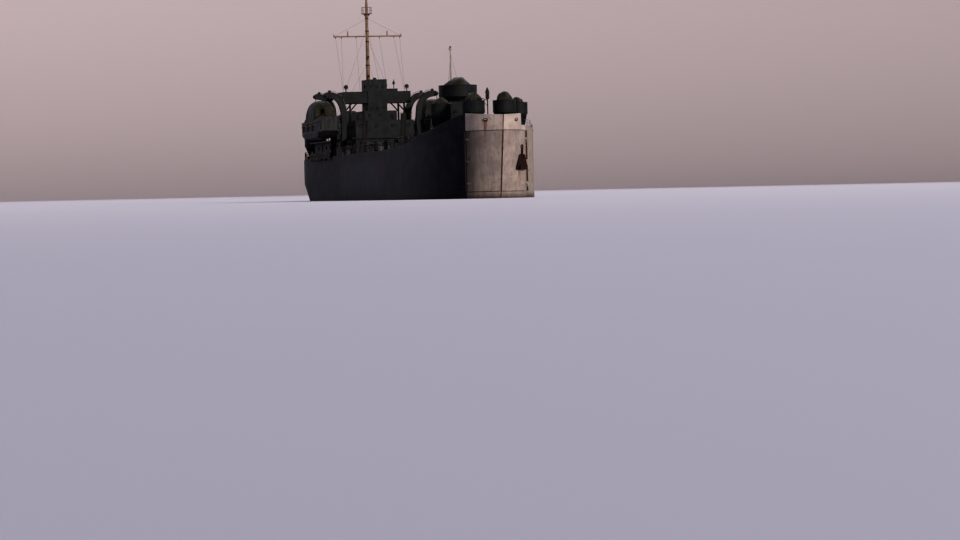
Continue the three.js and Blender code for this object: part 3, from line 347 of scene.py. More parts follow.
def painted_plate(
    name, base, pale, grime, *, rust=0.3, streaks=0.5, seams=True, dents=1.0, runs=(), floats=False,
    side=False, shaded_hinges=False, gloss=0.35,
):
    """Enamel brushed on rolled steel plate, left to the weather.

    The eye gets a matt, chalky coat with soft clouds 160 mm across and patches of grime of 45 mm, rain
    streaks 16 mm wide, rust where the coat has lifted, and on the shell its seams, dents and rust runs.
    """
    material, tree, shader, where = new_material(name)
    clouds = within(tree, (grain(tree, where, 160), 0.35, 0.7))
    colour = add(tree, "Mix", {0: clouds, 6: linear(base), 7: linear(pale)}, **COLOURS)
    if side:
        # Over the side's dark enamel: a paler length, the bow's pale colour as painted light, and painted
        # shade by the starboard hinges
        colour = add(tree, "Mix", {0: paler_length(tree, where), 6: colour, 7: linear("#494a56")}, **COLOURS)
        starboard_shade = hinge_shade(tree, where)
        lit_bow_tone = add(tree, "Mix", {0: starboard_shade, 6: linear("#918981"), 7: linear(HINGE_SHADE)}, **COLOURS)
        colour = add(tree, "Mix", {0: lit_bow(tree, where), 6: colour, 7: lit_bow_tone}, **COLOURS)
    # Painted shade, darkening the starboard door towards its hinges
    if shaded_hinges:
        colour = add(tree, "Mix", {0: hinge_shade(tree, where), 6: colour, 7: linear(HINGE_SHADE)}, **COLOURS)
    patches = within(tree, (grain(tree, where, 45, detail=6), 0.5, 0.72, 0.0, 0.5))
    colour = add(tree, "Mix", {0: patches, 6: colour, 7: linear(grime)}, **COLOURS)
    falls = grain(tree, where, 16, stretch=(1, 1, 14), detail=5)
    rain = within(tree, (falls, 0.5, 0.7, 0.0, streaks))
    colour = add(tree, "Mix", {0: rain, 6: colour, 7: linear(grime)}, **COLOURS)
    flakes = grain(tree, where, 22, stretch=(1, 1, 5), detail=8, roughness=0.7)
    lifted = within(tree, (flakes, 0.69 - rust * 0.2, 0.76), (grain(tree, where, 300), 0.4, 0.6))
    for run in runs:
        lifted = add(tree, "Math", (lifted, rust_run(tree, where, falls, *run)), operation="MAXIMUM")
    rusty = {0: grain(tree, where, 7), 6: linear("#5a3420"), 7: linear("#8a5a34")}
    share = add(tree, "Math", (lifted, 0.85), **PRODUCT)
    colour = add(tree, "Mix", {0: share, 6: colour, 7: add(tree, "Mix", rusty, **COLOURS)}, **COLOURS)
    if floats:
        colour = below_water(tree, where, colour)
    normal = add(tree, "Bump", {"Height": grain(tree, where, 5, detail=8), "Distance": 0.00012})
    if seams:
        shade, seam = plate_seams(tree, where)
        colour = add(tree, "Mix", {0: 0.1, 6: colour, 7: shade}, blend_type="OVERLAY", **COLOURS)
        normal = add(tree, "Bump", {"Height": seam, "Distance": 0.00035, "Normal": normal})
    if dents:
        bulge = {"Height": frame_dents(tree, where), "Distance": 0.0005 * dents, "Normal": normal}
        normal = add(tree, "Bump", bulge)
    roughness = within(tree, (lifted, 0, 1, 0.62, 0.92))
    feed(shader, {"Base Color": colour, "Normal": normal, "Roughness": roughness})
    feed(shader, {"Specular IOR Level": gloss})
    return material


def woven_canvas():
    """Cotton duck, woven and proofed: quite matt, with a coarse weave, faded ridges and damp folds."""
    material, tree, shader, where = new_material("proofed_cotton_canvas")
    faded = within(tree, (grain(tree, where, 70), 0.35, 0.65))
    colour = add(tree, "Mix", {0: faded, 6: linear("#20211a"), 7: linear("#34352a")}, **COLOURS)
    damp = within(tree, (grain(tree, where, 24, stretch=(1, 1, 4), detail=6), 0.5, 0.75, 0.0, 0.7))
    colour = add(tree, "Mix", {0: damp, 6: colour, 7: linear("#151410")}, **COLOURS)
    # The threads are drawn 2.4 mm apart, coarser than real ones, so that they show
    threads = {"Vector": where, "Scale": WAVE / 0.0024, "Distortion": 0.4}
    warp, weft = (add(tree, "TexWave", threads, out=1, bands_direction=axis) for axis in "XZ")
    folds = add(tree, "Bump", {"Height": grain(tree, where, 30, detail=5), "Distance": 0.0012})
    weave = add(tree, "Math", (warp, weft), **PRODUCT)
    normal = add(tree, "Bump", {"Height": weave, "Distance": 0.00025, "Normal": folds})
    feed(shader, {"Base Color": colour, "Normal": normal, "Roughness": 0.93})
    feed(shader, {"Sheen Weight": 0.12, "Sheen Roughness": 0.5})
    return material


def rusted_steel(name, dark, bright, scale_mm=9):
    """Bare cast or forged steel left to the weather: dark scale broken by bright rust, and pitted."""
    material, tree, shader, where = new_material(name)
    rust = within(tree, (grain(tree, where, scale_mm, detail=9, roughness=0.7), 0.42, 0.62))
    colour = add(tree, "Mix", {0: rust, 6: linear(dark), 7: linear(bright)}, **COLOURS)
    pits = grain(tree, where, scale_mm / 3, detail=6)
    deep = within(tree, (pits, 0.5, 0.8))
    colour = add(tree, "Mix", {0: deep, 6: colour, 7: linear("#1a1310")}, **COLOURS)
    normal = add(tree, "Bump", {"Height": pits, "Distance": 0.0004})
    roughness = within(tree, (rust, 0, 1, 0.6, 0.92))
    feed(shader, {"Base Color": colour, "Normal": normal, "Roughness": roughness, "Metallic": 0.35})
    return material


def cast_bronze():
    """Manganese bronze, cast and ground: a dull warm gleam, with a green film in its hollows."""
    material, tree, shader, where = new_material("cast_manganese_bronze")
    film = within(tree, (grain(tree, where, 14, detail=7), 0.42, 0.68))
    colour = add(tree, "Mix", {0: film, 6: linear("#a5814c"), 7: linear("#5c5a3e")}, **COLOURS)
    normal = add(tree, "Bump", {"Height": grain(tree, where, 3, detail=5), "Distance": 0.0001})
    roughness = within(tree, (film, 0, 1, 0.32, 0.7))
    feed(shader, {"Base Color": colour, "Normal": normal, "Roughness": roughness, "Metallic": 0.9})
    return material


def laid_rope(name, dark, pale, strand_mm):
    """Rope laid up from twisted strands: slanting ridges, matt and fibrous."""
    material, tree, shader, where = new_material(name)
    inputs = {"Vector": where, "Scale": WAVE / (strand_mm / 1000), "Distortion": 1.0}
    strands = add(tree, "TexWave", inputs, out=1, bands_direction="DIAGONAL")
    colour = add(tree, "Mix", {0: strands, 6: linear(dark), 7: linear(pale)}, **COLOURS)
    normal = add(tree, "Bump", {"Height": strands, "Distance": 0.0004})
    feed(shader, {"Base Color": colour, "Normal": normal, "Roughness": 0.9})
    return material


def planed_wood():
    """Fir planks, planed, oiled and greyed by salt: long grain along the ship."""
    material, tree, shader, where = new_material("weathered_fir_planks")
    lines = grain(tree, where, 8, stretch=(12, 1, 1), detail=6)
    pale = within(tree, (lines, 0.3, 0.7))
    colour = add(tree, "Mix", {0: pale, 6: linear("#4c443a"), 7: linear("#776b5b")}, **COLOURS)
    normal = add(tree, "Bump", {"Height": lines, "Distance": 0.0003})
    feed(shader, {"Base Color": colour, "Normal": normal, "Roughness": 0.85})
    return material


def port_glass():
    """Polished plate glass in the ports: dark, because the rooms behind are dark, with dust on it."""
    material, tree, shader, where = new_material("dark_plate_glass")
    dust = within(tree, (grain(tree, where, 12, detail=4), 0.4, 0.75, 0.08, 0.3))
    feed(shader, {"Base Color": linear("#0d1013"), "Roughness": dust, "IOR": 1.52})
    return material


def ship_point(station, breadth, height):
    return tuple(place(station, breadth, height))


# Where rust runs down: below the anchor, the bow fairlead, and the chocks and scuppers at the deck's edge.
# Each is (point, reach, width, lean), in metres of the model.
HULL_RUNS = [
    (ship_point(2.9, 2.4, 4.6), 0.34, 0.04, 0.12),
    (ship_point(1.43, -1.93, 10.35), 0.34, 0.035, 0.15),
    (ship_point(8.6, 5.73, 9.2), 0.34, 0.025, 0),
    (ship_point(9.7, 6.06, 8.9), 0.75, 0.045, 0),
    (ship_point(10.5, 6.3, 8.9), 0.5, 0.03, 0),
    (ship_point(34.0, -7.62, 7.6), 0.45, 0.03, 0),
    (ship_point(52.0, -7.62, 7.6), 0.36, 0.03, 0),
    (ship_point(52.0, 7.62, 7.6), 0.36, 0.03, 0),
    (ship_point(26.0, 7.62, 7.8), 0.36, 0.03, 0),
]
# Haze grey enamel, brushed: the pale, chalky bow, with painted shade by the starboard hinges
HAZE_GREY = painted_plate(
    "haze_grey_enamel", "#8a817d", "#9f958e", "#6a6461", runs=HULL_RUNS, floats=True, shaded_hinges=True,
)
# The same enamel, paler: the brighter band of the bulwark, flecked with rust
BULWARK_GREY = painted_plate(
    "bulwark_grey_enamel", "#a39a94", "#b8aea5", "#7f7873", rust=0.5, streaks=0.4, runs=HULL_RUNS[1:2],
)
# Grey enamel, brushed, darkened to a dull blue-black as painted shade for the side in shadow; it gives back
# little light at a low angle
SHADED_SIDE_GREY = painted_plate(
    "side_enamel_painted_shade", "#23252e", "#2e303a", "#18181e", runs=HULL_RUNS[2:], floats=True, side=True,
    gloss=0.08,
)
# Dark grey enamel, brushed: the upper works, almost black, with little rust
DARK_GREY = painted_plate(
    "dark_grey_enamel", "#1e2124", "#2a2e31", "#141619", rust=0.15, streaks=0.4, dents=0.4, gloss=0.15,
)
# Deck paint with grit in it, rolled on: a rough blue-grey that is scuffed to rust
DECK_GREY = painted_plate(
    "deck_grey_grit_paint", "#3f4447", "#55595a", "#2b2e2f", rust=0.5, streaks=0, seams=False,
)
# Mast enamel, brushed: a warm grey-brown with rust at its bands
MAST_BROWN = painted_plate("mast_enamel", "#6d5a49", "#89745e", "#453930", rust=0.6, seams=False, dents=0)
# Boat enamel, sprayed: a plain dark grey, cleaner than the ship's
BOAT_GREY = painted_plate(
    "boat_grey_enamel", "#2b2d2f", "#3a3c3e", "#1c1e20", rust=0.1, seams=False, dents=0,
)
# Copper bottom paint, rolled on: dull red-brown
BOTTOM_RED = painted_plate("copper_bottom_paint", BOTTOM_DARK, BOTTOM_PALE, "#2b2421", streaks=0.2)
# Painted shade: near-black steel put behind openings, where there is only deep shade, so that a mouth reads
# as a hole
SHADE = painted_plate(
    "painted_shade_steel", "#0e0d0d", "#171514", "#090909", rust=0.2, streaks=0, seams=False, dents=0,
)
# Cast steel edges rubbed bare, orange against dark scale
RUST = rusted_steel("weathered_cast_steel", "#2c211b", "#6e4326")
# Cast anchors, tarred: near black with dark red rust
ANCHOR_STEEL = rusted_steel("tarred_cast_steel", "#14100f", "#3d1a13")
# Forged rails, chain and irons, blacked: dark with coarse brown blooms
IRON = rusted_steel("blacked_forged_steel", "#1b1918", "#3c2c22", scale_mm=14)
BRONZE = cast_bronze()
CANVAS = woven_canvas()
# Manila rope, laid: grey-tan, its strands 4 mm apart
ROPE = laid_rope("laid_manila_rope", "#4a4233", "#7a6d55", 4)
WOOD = planed_wood()
# Hemp net, knotted and tarred: dark brown, its strands drawn 11 mm apart so that they show
NETTING = laid_rope("tarred_hemp_net", "#1e1a15", "#3a3226", 11)
GLASS = port_glass()

# The finish of each solid of the frame, by the start of its name
# Solids in the dark side enamel carry its painted shade
NODE_FINISH = {
    "hull_bottom": BOTTOM_RED, "hull_side": SHADED_SIDE_GREY, "main_deck": DECK_GREY, "hull_stern": SHADED_SIDE_GREY,
    "bow_door": SHADED_SIDE_GREY, "bow_ramp": DECK_GREY, "bulwark": SHADED_SIDE_GREY, "fore_tub": DARK_GREY,
    "side_tub": DARK_GREY, "quarter_tub": DARK_GREY, "centre_tub": DARK_GREY, "stern_tub": DARK_GREY,
    "fore_cover": CANVAS, "side_cover": CANVAS, "quarter_cover": CANVAS, "centre_cover": CANVAS,
    "stern_cover": CANVAS, "light_mast": HAZE_GREY, "cargo_hatch": DECK_GREY, "deck_vents": DARK_GREY,
    "deckhouse": DARK_GREY, "conning_tower": DARK_GREY, "bridge_wings": DARK_GREY, "main_mast": MAST_BROWN,
    "boat_cover": CANVAS, "radar": MAST_BROWN, "bow_windlass": IRON, "bow_anchor": ANCHOR_STEEL,
    "stern_winch": IRON, "stern_anchor": ANCHOR_STEEL, "shaft": BOTTOM_RED, "propeller": BRONZE,
    "rudder": BOTTOM_RED, "davit": DARK_GREY, "boat_fall": IRON, "boat_hull": BOAT_GREY,
    "boat_ramp": BOAT_GREY,
}


def finish_nodes():
    for name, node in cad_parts.items():
        finish = next(material for start, material in NODE_FINISH.items() if name.startswith(start))
        node.data.materials.clear()
        node.data.materials.append(finish)


class Maker:
    """Collects the pieces of one mesh, given in ship's metres as (station, breadth, height)."""

    def __init__(self):
        self.points, self.faces = [], []

    def put(self, points, faces):
        start = len(self.points)
        self.points += [tuple(p) for p in points]
        self.faces += [tuple(start + i for i in face) for face in faces]

    def grid(self, rows, closed_rows=False, closed_columns=False):
        """A surface through rows of points, all of one length."""
        height, width = len(rows), len(rows[0])
        faces = []
        for r in range(height if closed_rows else height - 1):
            for c in range(width if closed_columns else width - 1):
                d, e = (r + 1) % height, (c + 1) % width
                faces.append((r * width + c, r * width + e, d * width + e, d * width + c))
        self.put([p for row in rows for p in row], faces)

    def tube(self, path, radius, sides=8, closed=False):
        """A round bar along a path; radius is one value, or one for each point."""
        path = [Vector(p) for p in path]
        radii = [radius] * len(path) if isinstance(radius, (int, float)) else radius
        rows, guide = [], None
        for i, point in enumerate(path):
            before = path[i - 1] if i or closed else point
            after = path[(i + 1) % len(path)] if i < len(path) - 1 or closed else point
            along = (after - before).normalized()
            if guide is None:
                guide = Vector((0, 0, 1)) if abs(along.z) < 0.9 else Vector((1, 0, 0))
            first = along.cross(guide).normalized()
            second = along.cross(first).normalized()
            guide = first.cross(along) if first.cross(along).length else guide
            rows.append(oval(point, first * radii[i], second * radii[i], sides))
        start = len(self.points)
        self.grid(rows, closed_rows=closed, closed_columns=True)
        if not closed:
            self.faces.append(tuple(start + k for k in range(sides)))
            self.faces.append(tuple(start + (len(rows) - 1) * sides + k for k in reversed(range(sides))))

    def slab(self, low, high, taper=0.0):
        """A block between two corners, its top drawn in by taper on each side."""
        (s0, b0, z0), (s1, b1, z1) = low, high
        t = taper
        ring = [(s0, b0, z0), (s1, b0, z0), (s1, b1, z0), (s0, b1, z0)]
        top = [(s0 + t, b0 + t, z1), (s1 - t, b0 + t, z1), (s1 - t, b1 - t, z1), (s0 + t, b1 - t, z1)]
        sides = [(i, (i + 1) % 4, (i + 1) % 4 + 4, i + 4) for i in range(4)]
        self.put(ring + top, [(3, 2, 1, 0), (4, 5, 6, 7), *sides])

    def turned(self, station, breadth, profile, sides=32):
        """A body turned about an upright axis from a profile of (radius, height) that ends on the axis."""
        self.grid([ring(station, breadth, z, r, sides) for r, z in profile], closed_columns=True)

    def bar(self, rows):
        """A solid bar through rows of corners, closed at both ends."""
        self.grid(rows, closed_columns=True)
        corners = range(len(rows[0]))
        self.put(rows[0], [tuple(corners)])
        self.put(rows[-1], [tuple(reversed(corners))])

    def plate(self, outline, shift):
        """A flat plate: its outline, and the same outline moved by shift."""
        count = len(outline)
        far = [Vector(p) + Vector(shift) for p in outline]
        sides = [(i, (i + 1) % count, (i + 1) % count + count, i + count) for i in range(count)]
        ends = [tuple(reversed(range(count))), tuple(range(count, 2 * count))]
        self.put([*outline, *far], ends + sides)

    def build(self, name, material, body=HULL, smooth=True, bevel=0.0):
        """Makes the mesh in the frame's metres, welds it, turns its faces outwards and lets it ride."""
        mesh = bpy.data.meshes.new(name)
        mesh.from_pydata([place(*p) for p in self.points], [], self.faces)
        piece = bpy.data.objects.new(name, mesh)
        bpy.context.scene.collection.objects.link(piece)
        tidy_mesh(mesh)
        mesh.materials.append(material)
        if bevel:
            soften(piece, bevel * M)
        if smooth:
            mesh.shade_smooth()
            mesh.set_sharp_from_angle(angle=SHARP)
        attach(piece, body)
        return piece


def tidy_mesh(mesh, weld=1e-5):
    work = bmesh.new()
    work.from_mesh(mesh)
    bmesh.ops.remove_doubles(work, verts=work.verts, dist=weld)
    bmesh.ops.dissolve_degenerate(work, edges=work.edges, dist=weld / 2)
    bmesh.ops.recalc_face_normals(work, faces=work.faces)
    work.to_mesh(mesh)
    work.free()


def apply_modifiers(piece):
    """Replaces the mesh by what its modifiers make of it."""
    graph = bpy.context.evaluated_depsgraph_get()
    made = bpy.data.meshes.new_from_object(piece.evaluated_get(graph))
    made.set_sharp_from_angle(angle=SHARP)
    piece.modifiers.clear()
    piece.data = made


def soften(piece, width):
    bevel = piece.modifiers.new("edge", "BEVEL")
    bevel.width, bevel.segments, bevel.limit_method = width, 2, "ANGLE"
    apply_modifiers(piece)


# Plating: a fair skin over the faceted solids. SKIN and BOW_OUT are how far it stands out from them.
SKIN = 0.012
BOW_OUT = 0.035
PLATE_THICKNESS = 0.02


def skin_row(station, side, heights):
    return [(station, side * (hull_breadth(station, z) + SKIN), z) for z in heights]


def section_heights(station, count=22):
    """Heights from the keel to the deck, closer together at the bilge."""
    low, high = keel_at(station), deck_at(station) - 0.004
    return [low + (high - low) * (k / (count - 1)) ** 1.35 for k in range(count)]


def shell_stations():
    knees = [s for s, _ in OUTLINE if s > DOOR_EDGE] + [s for s, _ in KEEL if s > DOOR_EDGE]
    regular = [
        *np.arange(DOOR_EDGE + 0.09, 24, 0.5), *np.arange(24, 74, 2.5), *np.arange(74, LENGTH, 0.5),
    ]
    return sorted(set(np.round(regular + knees, 3)))


def thick(piece, distance):
    """Gives an open sheet of plating its thickness, inwards."""
    solidify = piece.modifiers.new("thickness", "SOLIDIFY")
    solidify.thickness, solidify.offset = distance * M, -1
    apply_modifiers(piece)


def shell_plating():
    """Side, bilge and bottom plating from the doors' edge to the stern."""
    for word, side in SIDES.items():
        rows = [skin_row(station, side, section_heights(station)) for station in shell_stations()]
        rows.append([(LENGTH + SKIN, 0.0, z) for _, _, z in rows[-1]])
        skin = Maker()
        skin.grid(rows if side > 0 else [row[::-1] for row in rows])
        # The side plating takes the dark enamel whose blue-black is painted shade
        thick(skin.build(f"shell_plating_{word}", SHADED_SIDE_GREY), PLATE_THICKNESS)


def bow_skin(side, z_low, z_high, name, body, margin=0.0, out=SKIN * 0.7, paint=HAZE_GREY):
    """Plating of the raked bow between two heights, from the stem to the door's edge."""
    levels = np.linspace(z_low, z_high, 12)
    sigmas = np.concatenate([np.linspace(0, 1, 7)[:-1], np.linspace(1, DOOR_EDGE, 15)])
    skin = Maker()
    rows = []
    for z in levels:
        row = []
        for sigma in sigmas:
            station, breadth = bow_point(sigma, z)
            if station > DOOR_EDGE - margin:
                station, breadth = DOOR_EDGE - margin, skin_breadth(DOOR_EDGE - margin, z)
            row.append((station - out, side * max(0.03 if margin else 0, breadth + out), z))
        rows.append(row)
    skin.grid(rows if side < 0 else [row[::-1] for row in rows])
    thick(skin.build(name, paint, body), PLATE_THICKNESS)


def bow_plating():
    for word, side in SIDES.items():
        door = f"door_{word}"
        bow_skin(side, DOOR_LOW + 0.01, DOOR_HIGH - 0.01, f"door_plating_{word}", door, margin=0.035)
        bow_skin(
            side, WELL_TOP, DECK_FORWARD, f"bow_plating_{word}", HULL, out=BOW_OUT, paint=BULWARK_GREY,
        )
        bow_skin(side, STEM_FOOT + 0.05, WELL_FLOOR - 0.005, f"forefoot_plating_{word}", HULL)


def shell_point(run, z, side, out=0.0):
    """A point of the plating; run counts along the bow from the stem, and is the station aft of that."""
    station, breadth = bow_point(run, z) if run < DOOR_EDGE else (run, hull_breadth(run, z))
    return station, side * (breadth + out), z


def bulwark_edge(run, side):
    """Height of the bulwark's top, cut down on the port side beside the anchor."""
    z = STEM_TOP
    for _ in range(8):
        station = shell_point(run, z, side)[0]
        z = look_up(BULWARK_TOP, station)
    fore, aft, sill = PORT_GAP
    if side > 0 and fore < station < aft:
        return min(sill, deck_at(station) + 0.15)
    return z


BULWARK_END = 17


def bulwark_runs(side):
    runs = [*np.linspace(0, 1, 7), *np.linspace(1.2, DOOR_EDGE, 12), *np.linspace(4.5, BULWARK_END, 36)]
    if side > 0:
        runs += [2.4, 2.44, PORT_GAP[1] - 0.02, PORT_GAP[1] + 0.02]
    return sorted(runs)


def bulwarks():
    """Plating round the forecastle with a rolled cap and knees inside it."""
    for word, side in SIDES.items():
        runs = bulwark_runs(side)
        columns = []
        for run in runs:
            foot, top = min(DECK_FORWARD, deck_at(run)) - 0.03, bulwark_edge(run, side)
            heights = [foot + (top - foot) * k / 5 for k in range(6)]
            columns.append([shell_point(run, z, side, BOW_OUT) for z in heights])
        turn = next(i for i, run in enumerate(runs) if run >= DOOR_EDGE)
        # Aft of the door's edge the bulwark takes the dark enamel of painted shade
        lengths = (("fore", columns[: turn + 1], BULWARK_GREY), ("aft", columns[turn:], SHADED_SIDE_GREY))
        for end, part, paint in lengths:
            skin = Maker()
            skin.grid(part if side > 0 else [c[::-1] for c in part])
            piece = skin.build(f"bulwark_plating_{end}_{word}", paint)
            thick(piece, 0.05)
            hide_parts(f"bulwark_{word}")
        edge = [Vector(shell_point(run, bulwark_edge(run, side), side, -0.02)) for run in runs]
        nose = Maker()
        nose.tube(edge[: turn + 1], 0.055, sides=8)
        nose.build(f"bulwark_nosing_{word}", BULWARK_GREY)
        cap = Maker()
        cap.tube(edge[turn:], 0.055, sides=8)
        for run in np.arange(0.9, BULWARK_END - 0.4, 0.85):
            deck, top = deck_at(run), bulwark_edge(run, side)
            if top - deck > 0.3:
                knee(cap, run, side, deck, top - 0.08)
        cap.build(f"bulwark_cap_{word}", SHADED_SIDE_GREY)


def knee(maker, run, side, deck, top):
    """A triangular stay between the bulwark and the deck."""
    station, outer, _ = shell_point(run, deck, side, -0.04)
    _, upper, _ = shell_point(run, top, side, -0.04)
    foot = outer - side * min(0.55, abs(outer) * 0.6)
    outline = [
        (station, outer, deck + 0.01), (station, foot, deck + 0.01), (station, upper - side * 0.09, top),
        (station, upper, top),
    ]
    maker.plate(outline, (0.05, 0, 0))


def stem_and_edges():
    """The stem bar above and below the doors, and the bars that close the doors' meeting edges."""
    stem = Maker()
    for low, high in ((STEM_FOOT + 0.1, WELL_FLOOR - 0.02), (WELL_TOP + 0.02, STEM_TOP + 0.04)):
        path = [(stem_at(z) - 0.02, 0, z) for z in np.linspace(low, high, 12)]
        stem.tube(path, 0.05, sides=12)
    stem.build("stem_bar", RUST)
    for word, side in SIDES.items():
        rod = Maker()
        rod.tube([(DOOR_EDGE, side * 3.88, z) for z in (DOOR_LOW, DOOR_HIGH)], 0.085, sides=10)
        # The starboard rod is blacked and the port one rusty: a dark line of painted shade down the
        # starboard hinge
        rod.build(f"door_hinge_rod_{word}", IRON if side == STARBOARD else RUST)
        edge = Maker()
        heights = np.linspace(DOOR_LOW + 0.02, DOOR_HIGH - 0.02, 16)
        edge.tube([(stem_at(z) + 0.005, side * 0.06, z) for z in heights], 0.03, sides=8)
        edge.build(f"door_meeting_bar_{word}", RUST, f"door_{word}")


# Side, run and height of each rope lead through the bulwark
FAIRLEADS = (
    (STARBOARD, 1.35, 10.45), (PORT, 1.35, 10.45), (STARBOARD, 7.6, 10.0), (STARBOARD, 11.5, 9.3),
    (PORT, 11.5, 9.3),
)


def bow_fairleads():
    """Oval rope leads through the bulwark, each with a doubling ring that sheds rust, and a near-black plate
    of painted shade in its mouth.
    """
    rings, holes = Maker(), Maker()
    for side, run, z in FAIRLEADS:
        a, b = (Vector(shell_point(run + d, z, side, 0.02)) for d in (-0.2, 0.2))
        ahead, up = (a - b).normalized(), Vector((0, 0, 1))
        lead = oval((a + b) / 2, ahead * 0.3, up * 0.17, 24)
        rings.tube(lead, 0.06, sides=8, closed=True)
        out = ahead.cross(up) * (1 if ahead.cross(up).y * side > 0 else -1)
        holes.plate([p + out * 0.012 for p in lead], out * -0.05)
    rings.build("bow_fairlead_rings", RUST)
    holes.build("bow_fairlead_mouths", SHADE)


# Round platforms, each turned about its own upright axis: station, breadth, radius, floor and rim, and the
# radius and foot of the column under them
TUBS = {
    "fore_tub": (7.3, 1.95, 1.4, 11.6, 12.95, 0.9, 9.3),
    "side_tub": (12.5, 4.83, 1.35, 11.5, 12.8, 0.8, 8.6),
    "centre_tub": (23.3, 0, 2.4, 14.1, 15.4, 1.2, 13.4),
    "quarter_tub": (92.0, 3.6, 1.5, 9.7, 11.0, 0.8, 7.7),
    "stern_tub": (87, 0, 2.35, 12.0, 13.3, 1.0, 10.15),
}
HOUSE_HALF, HOUSE_TOP = 1.75, 13.4


def tub_places():
    """Each platform's node name, its side and its sizes."""
    for name, sizes in TUBS.items():
        if sizes[1]:
            for word, side in SIDES.items():
                yield f"{name}_{word}", side, sizes
        else:
            yield name, PORT, sizes


def platforms():
    for name, side, (station, off, radius, floor, rim, column, foot) in tub_places():
        breadth = side * off
        body = Maker()
        flare = floor - 0.75
        profile = [
            (0, foot), (column, foot), (column, flare), (column + 0.05, flare + 0.08),
            (radius - 0.12, floor - 0.16), (radius, floor - 0.1), (radius, rim - 0.05), (radius + 0.05, rim),
            (radius, rim + 0.05), (radius - 0.07, rim), (radius - 0.07, floor), (0, floor),
        ]
        body.turned(station, breadth, profile, sides=56)
        piece = body.build(f"{name}_plating", DARK_GREY)
        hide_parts(name)
        platform_fittings(name, station, breadth, radius, floor, rim, column, foot)


def platform_fittings(name, station, breadth, radius, floor, rim, column, foot):
    """Stays under a platform, long and short by turns, bands round it, its lockers and its ladder."""
    fit = Maker()
    root = column * 0.98
    long = [
        (root, foot + 0.35), (root, floor - 0.8), (radius - 0.1, floor - 0.16), (radius - 0.1, floor - 0.1),
    ]
    short = [
        (root, max(foot, floor - 1.6)), (radius - 0.12, floor - 0.2), (radius - 0.12, floor - 0.12),
        (root, floor - 0.5),
    ]
    for k in range(12):
        turn = 2 * math.pi * (k + 0.5) / 12
        cos, sin = math.cos(turn), math.sin(turn)
        ray = long if k % 2 else short
        outline = [(station + r * cos + sin * 0.02, breadth + r * sin - cos * 0.02, z) for r, z in ray]
        fit.plate(outline, (-sin * 0.04, cos * 0.04, 0))
    for height in (floor + 0.12, rim - 0.35):
        fit.tube(ring(station, breadth, height, radius + 0.012), 0.028, sides=6, closed=True)
    fit.tube(ring(station, breadth, foot + 0.06, column + 0.03), 0.06, sides=6, closed=True)
    lockers(fit, station, breadth, radius - 0.3, floor + 0.02)
    fit.build(f"{name}_fittings", DARK_GREY)
    steps = Maker()
    ladder(steps, (station + column + 0.16, breadth, foot + 0.1), floor - 0.3 - foot, 0.4)
    steps.build(f"{name}_ladder", IRON)


def lockers(maker, station, breadth, radius, floor):
    """Ready lockers standing round the inside of a platform."""
    for k in range(3):
        turn = 2 * math.pi * (k / 3 + 0.14)
        s, b = station + radius * math.cos(turn), breadth + radius * math.sin(turn)
        maker.slab((s - 0.14, b - 0.22, floor), (s + 0.14, b + 0.22, floor + 0.75), taper=0.03)


def ladder(maker, foot, height, width, lean=(0, 0, 0), spacing=0.3):
    """Two upright bars across the ship with round rungs between them, standing up from its foot."""
    foot, across = Vector(foot), Vector((0, 1, 0))
    top = foot + Vector((0, 0, height)) + Vector(lean)
    for end in (-0.5, 0.5):
        maker.tube([foot + across * width * end, top + across * width * end], 0.032, sides=6)
    for k in range(1, int(height / spacing) + 1):
        middle = foot.lerp(top, k * spacing / height) if k * spacing < height else top
        maker.tube([middle - across * width / 2, middle + across * width / 2], 0.02, sides=6)


def facing(face, station, breadth, height):
    """Turns (across, up, out) on a wall into a place on the ship."""
    def at(across, up, out=0.0):
        if face == "fore":
            return Vector((station - out, breadth + across, height + up))
        if face == "aft":
            return Vector((station + out, breadth - across, height + up))
        side = PORT if face == "port" else STARBOARD
        return Vector((station + across, breadth + side * out, height + up))
    return at


def round_port(steel, glass, at, radius=0.19):
    """A port in its riveted ring, under a small drip lip."""
    rim = [(radius * math.cos(t), radius * math.sin(t)) for t in round_turns(20)]
    steel.tube([at(u, v, 0.025) for u, v in rim], 0.04, sides=6, closed=True)
    glass.plate([at(u, v, 0.004) for u, v in rim], at(0, 0, 0.018) - at(0, 0, 0))
    lip, over = radius * 1.45, np.linspace(0.35, math.pi - 0.35, 9)
    steel.tube([at(lip * math.cos(t), lip * math.sin(t), 0.03) for t in over], 0.022, sides=5)


def steel_door(steel, at, width=0.72, height=1.72):
    """A watertight door with rounded corners, its frame, dogs and a lever; at is its sill's middle."""
    def outline(grow, out):
        corners = [(1, 1, 0), (-1, 1, 90), (-1, -1, 180), (1, -1, 270)]
        points = []
        for x, y, first in corners:
            for turn in (0, 45, 90):
                t = math.radians(first + turn)
                u = x * (width / 2 + grow - 0.14) + 0.14 * math.cos(t)
                v = height / 2 + 0.25 + y * (height / 2 + grow - 0.14) + 0.14 * math.sin(t)
                points.append(at(u, v, out))
        return points

    away = at(0, 0, 1) - at(0, 0, 0)
    steel.plate(outline(0, 0.004), away * 0.05)
    steel.tube(outline(0.05, 0.03), 0.035, sides=6, closed=True)
    for v in (0.55, 1.1, 1.7):
        steel.tube([at(width / 2 - 0.02, v, 0.07), at(width / 2 - 0.2, v + 0.05, 0.07)], 0.025, sides=5)
        steel.tube([at(-width / 2 - 0.08, v, 0.06), at(-width / 2 + 0.1, v, 0.06)], 0.035, sides=5)


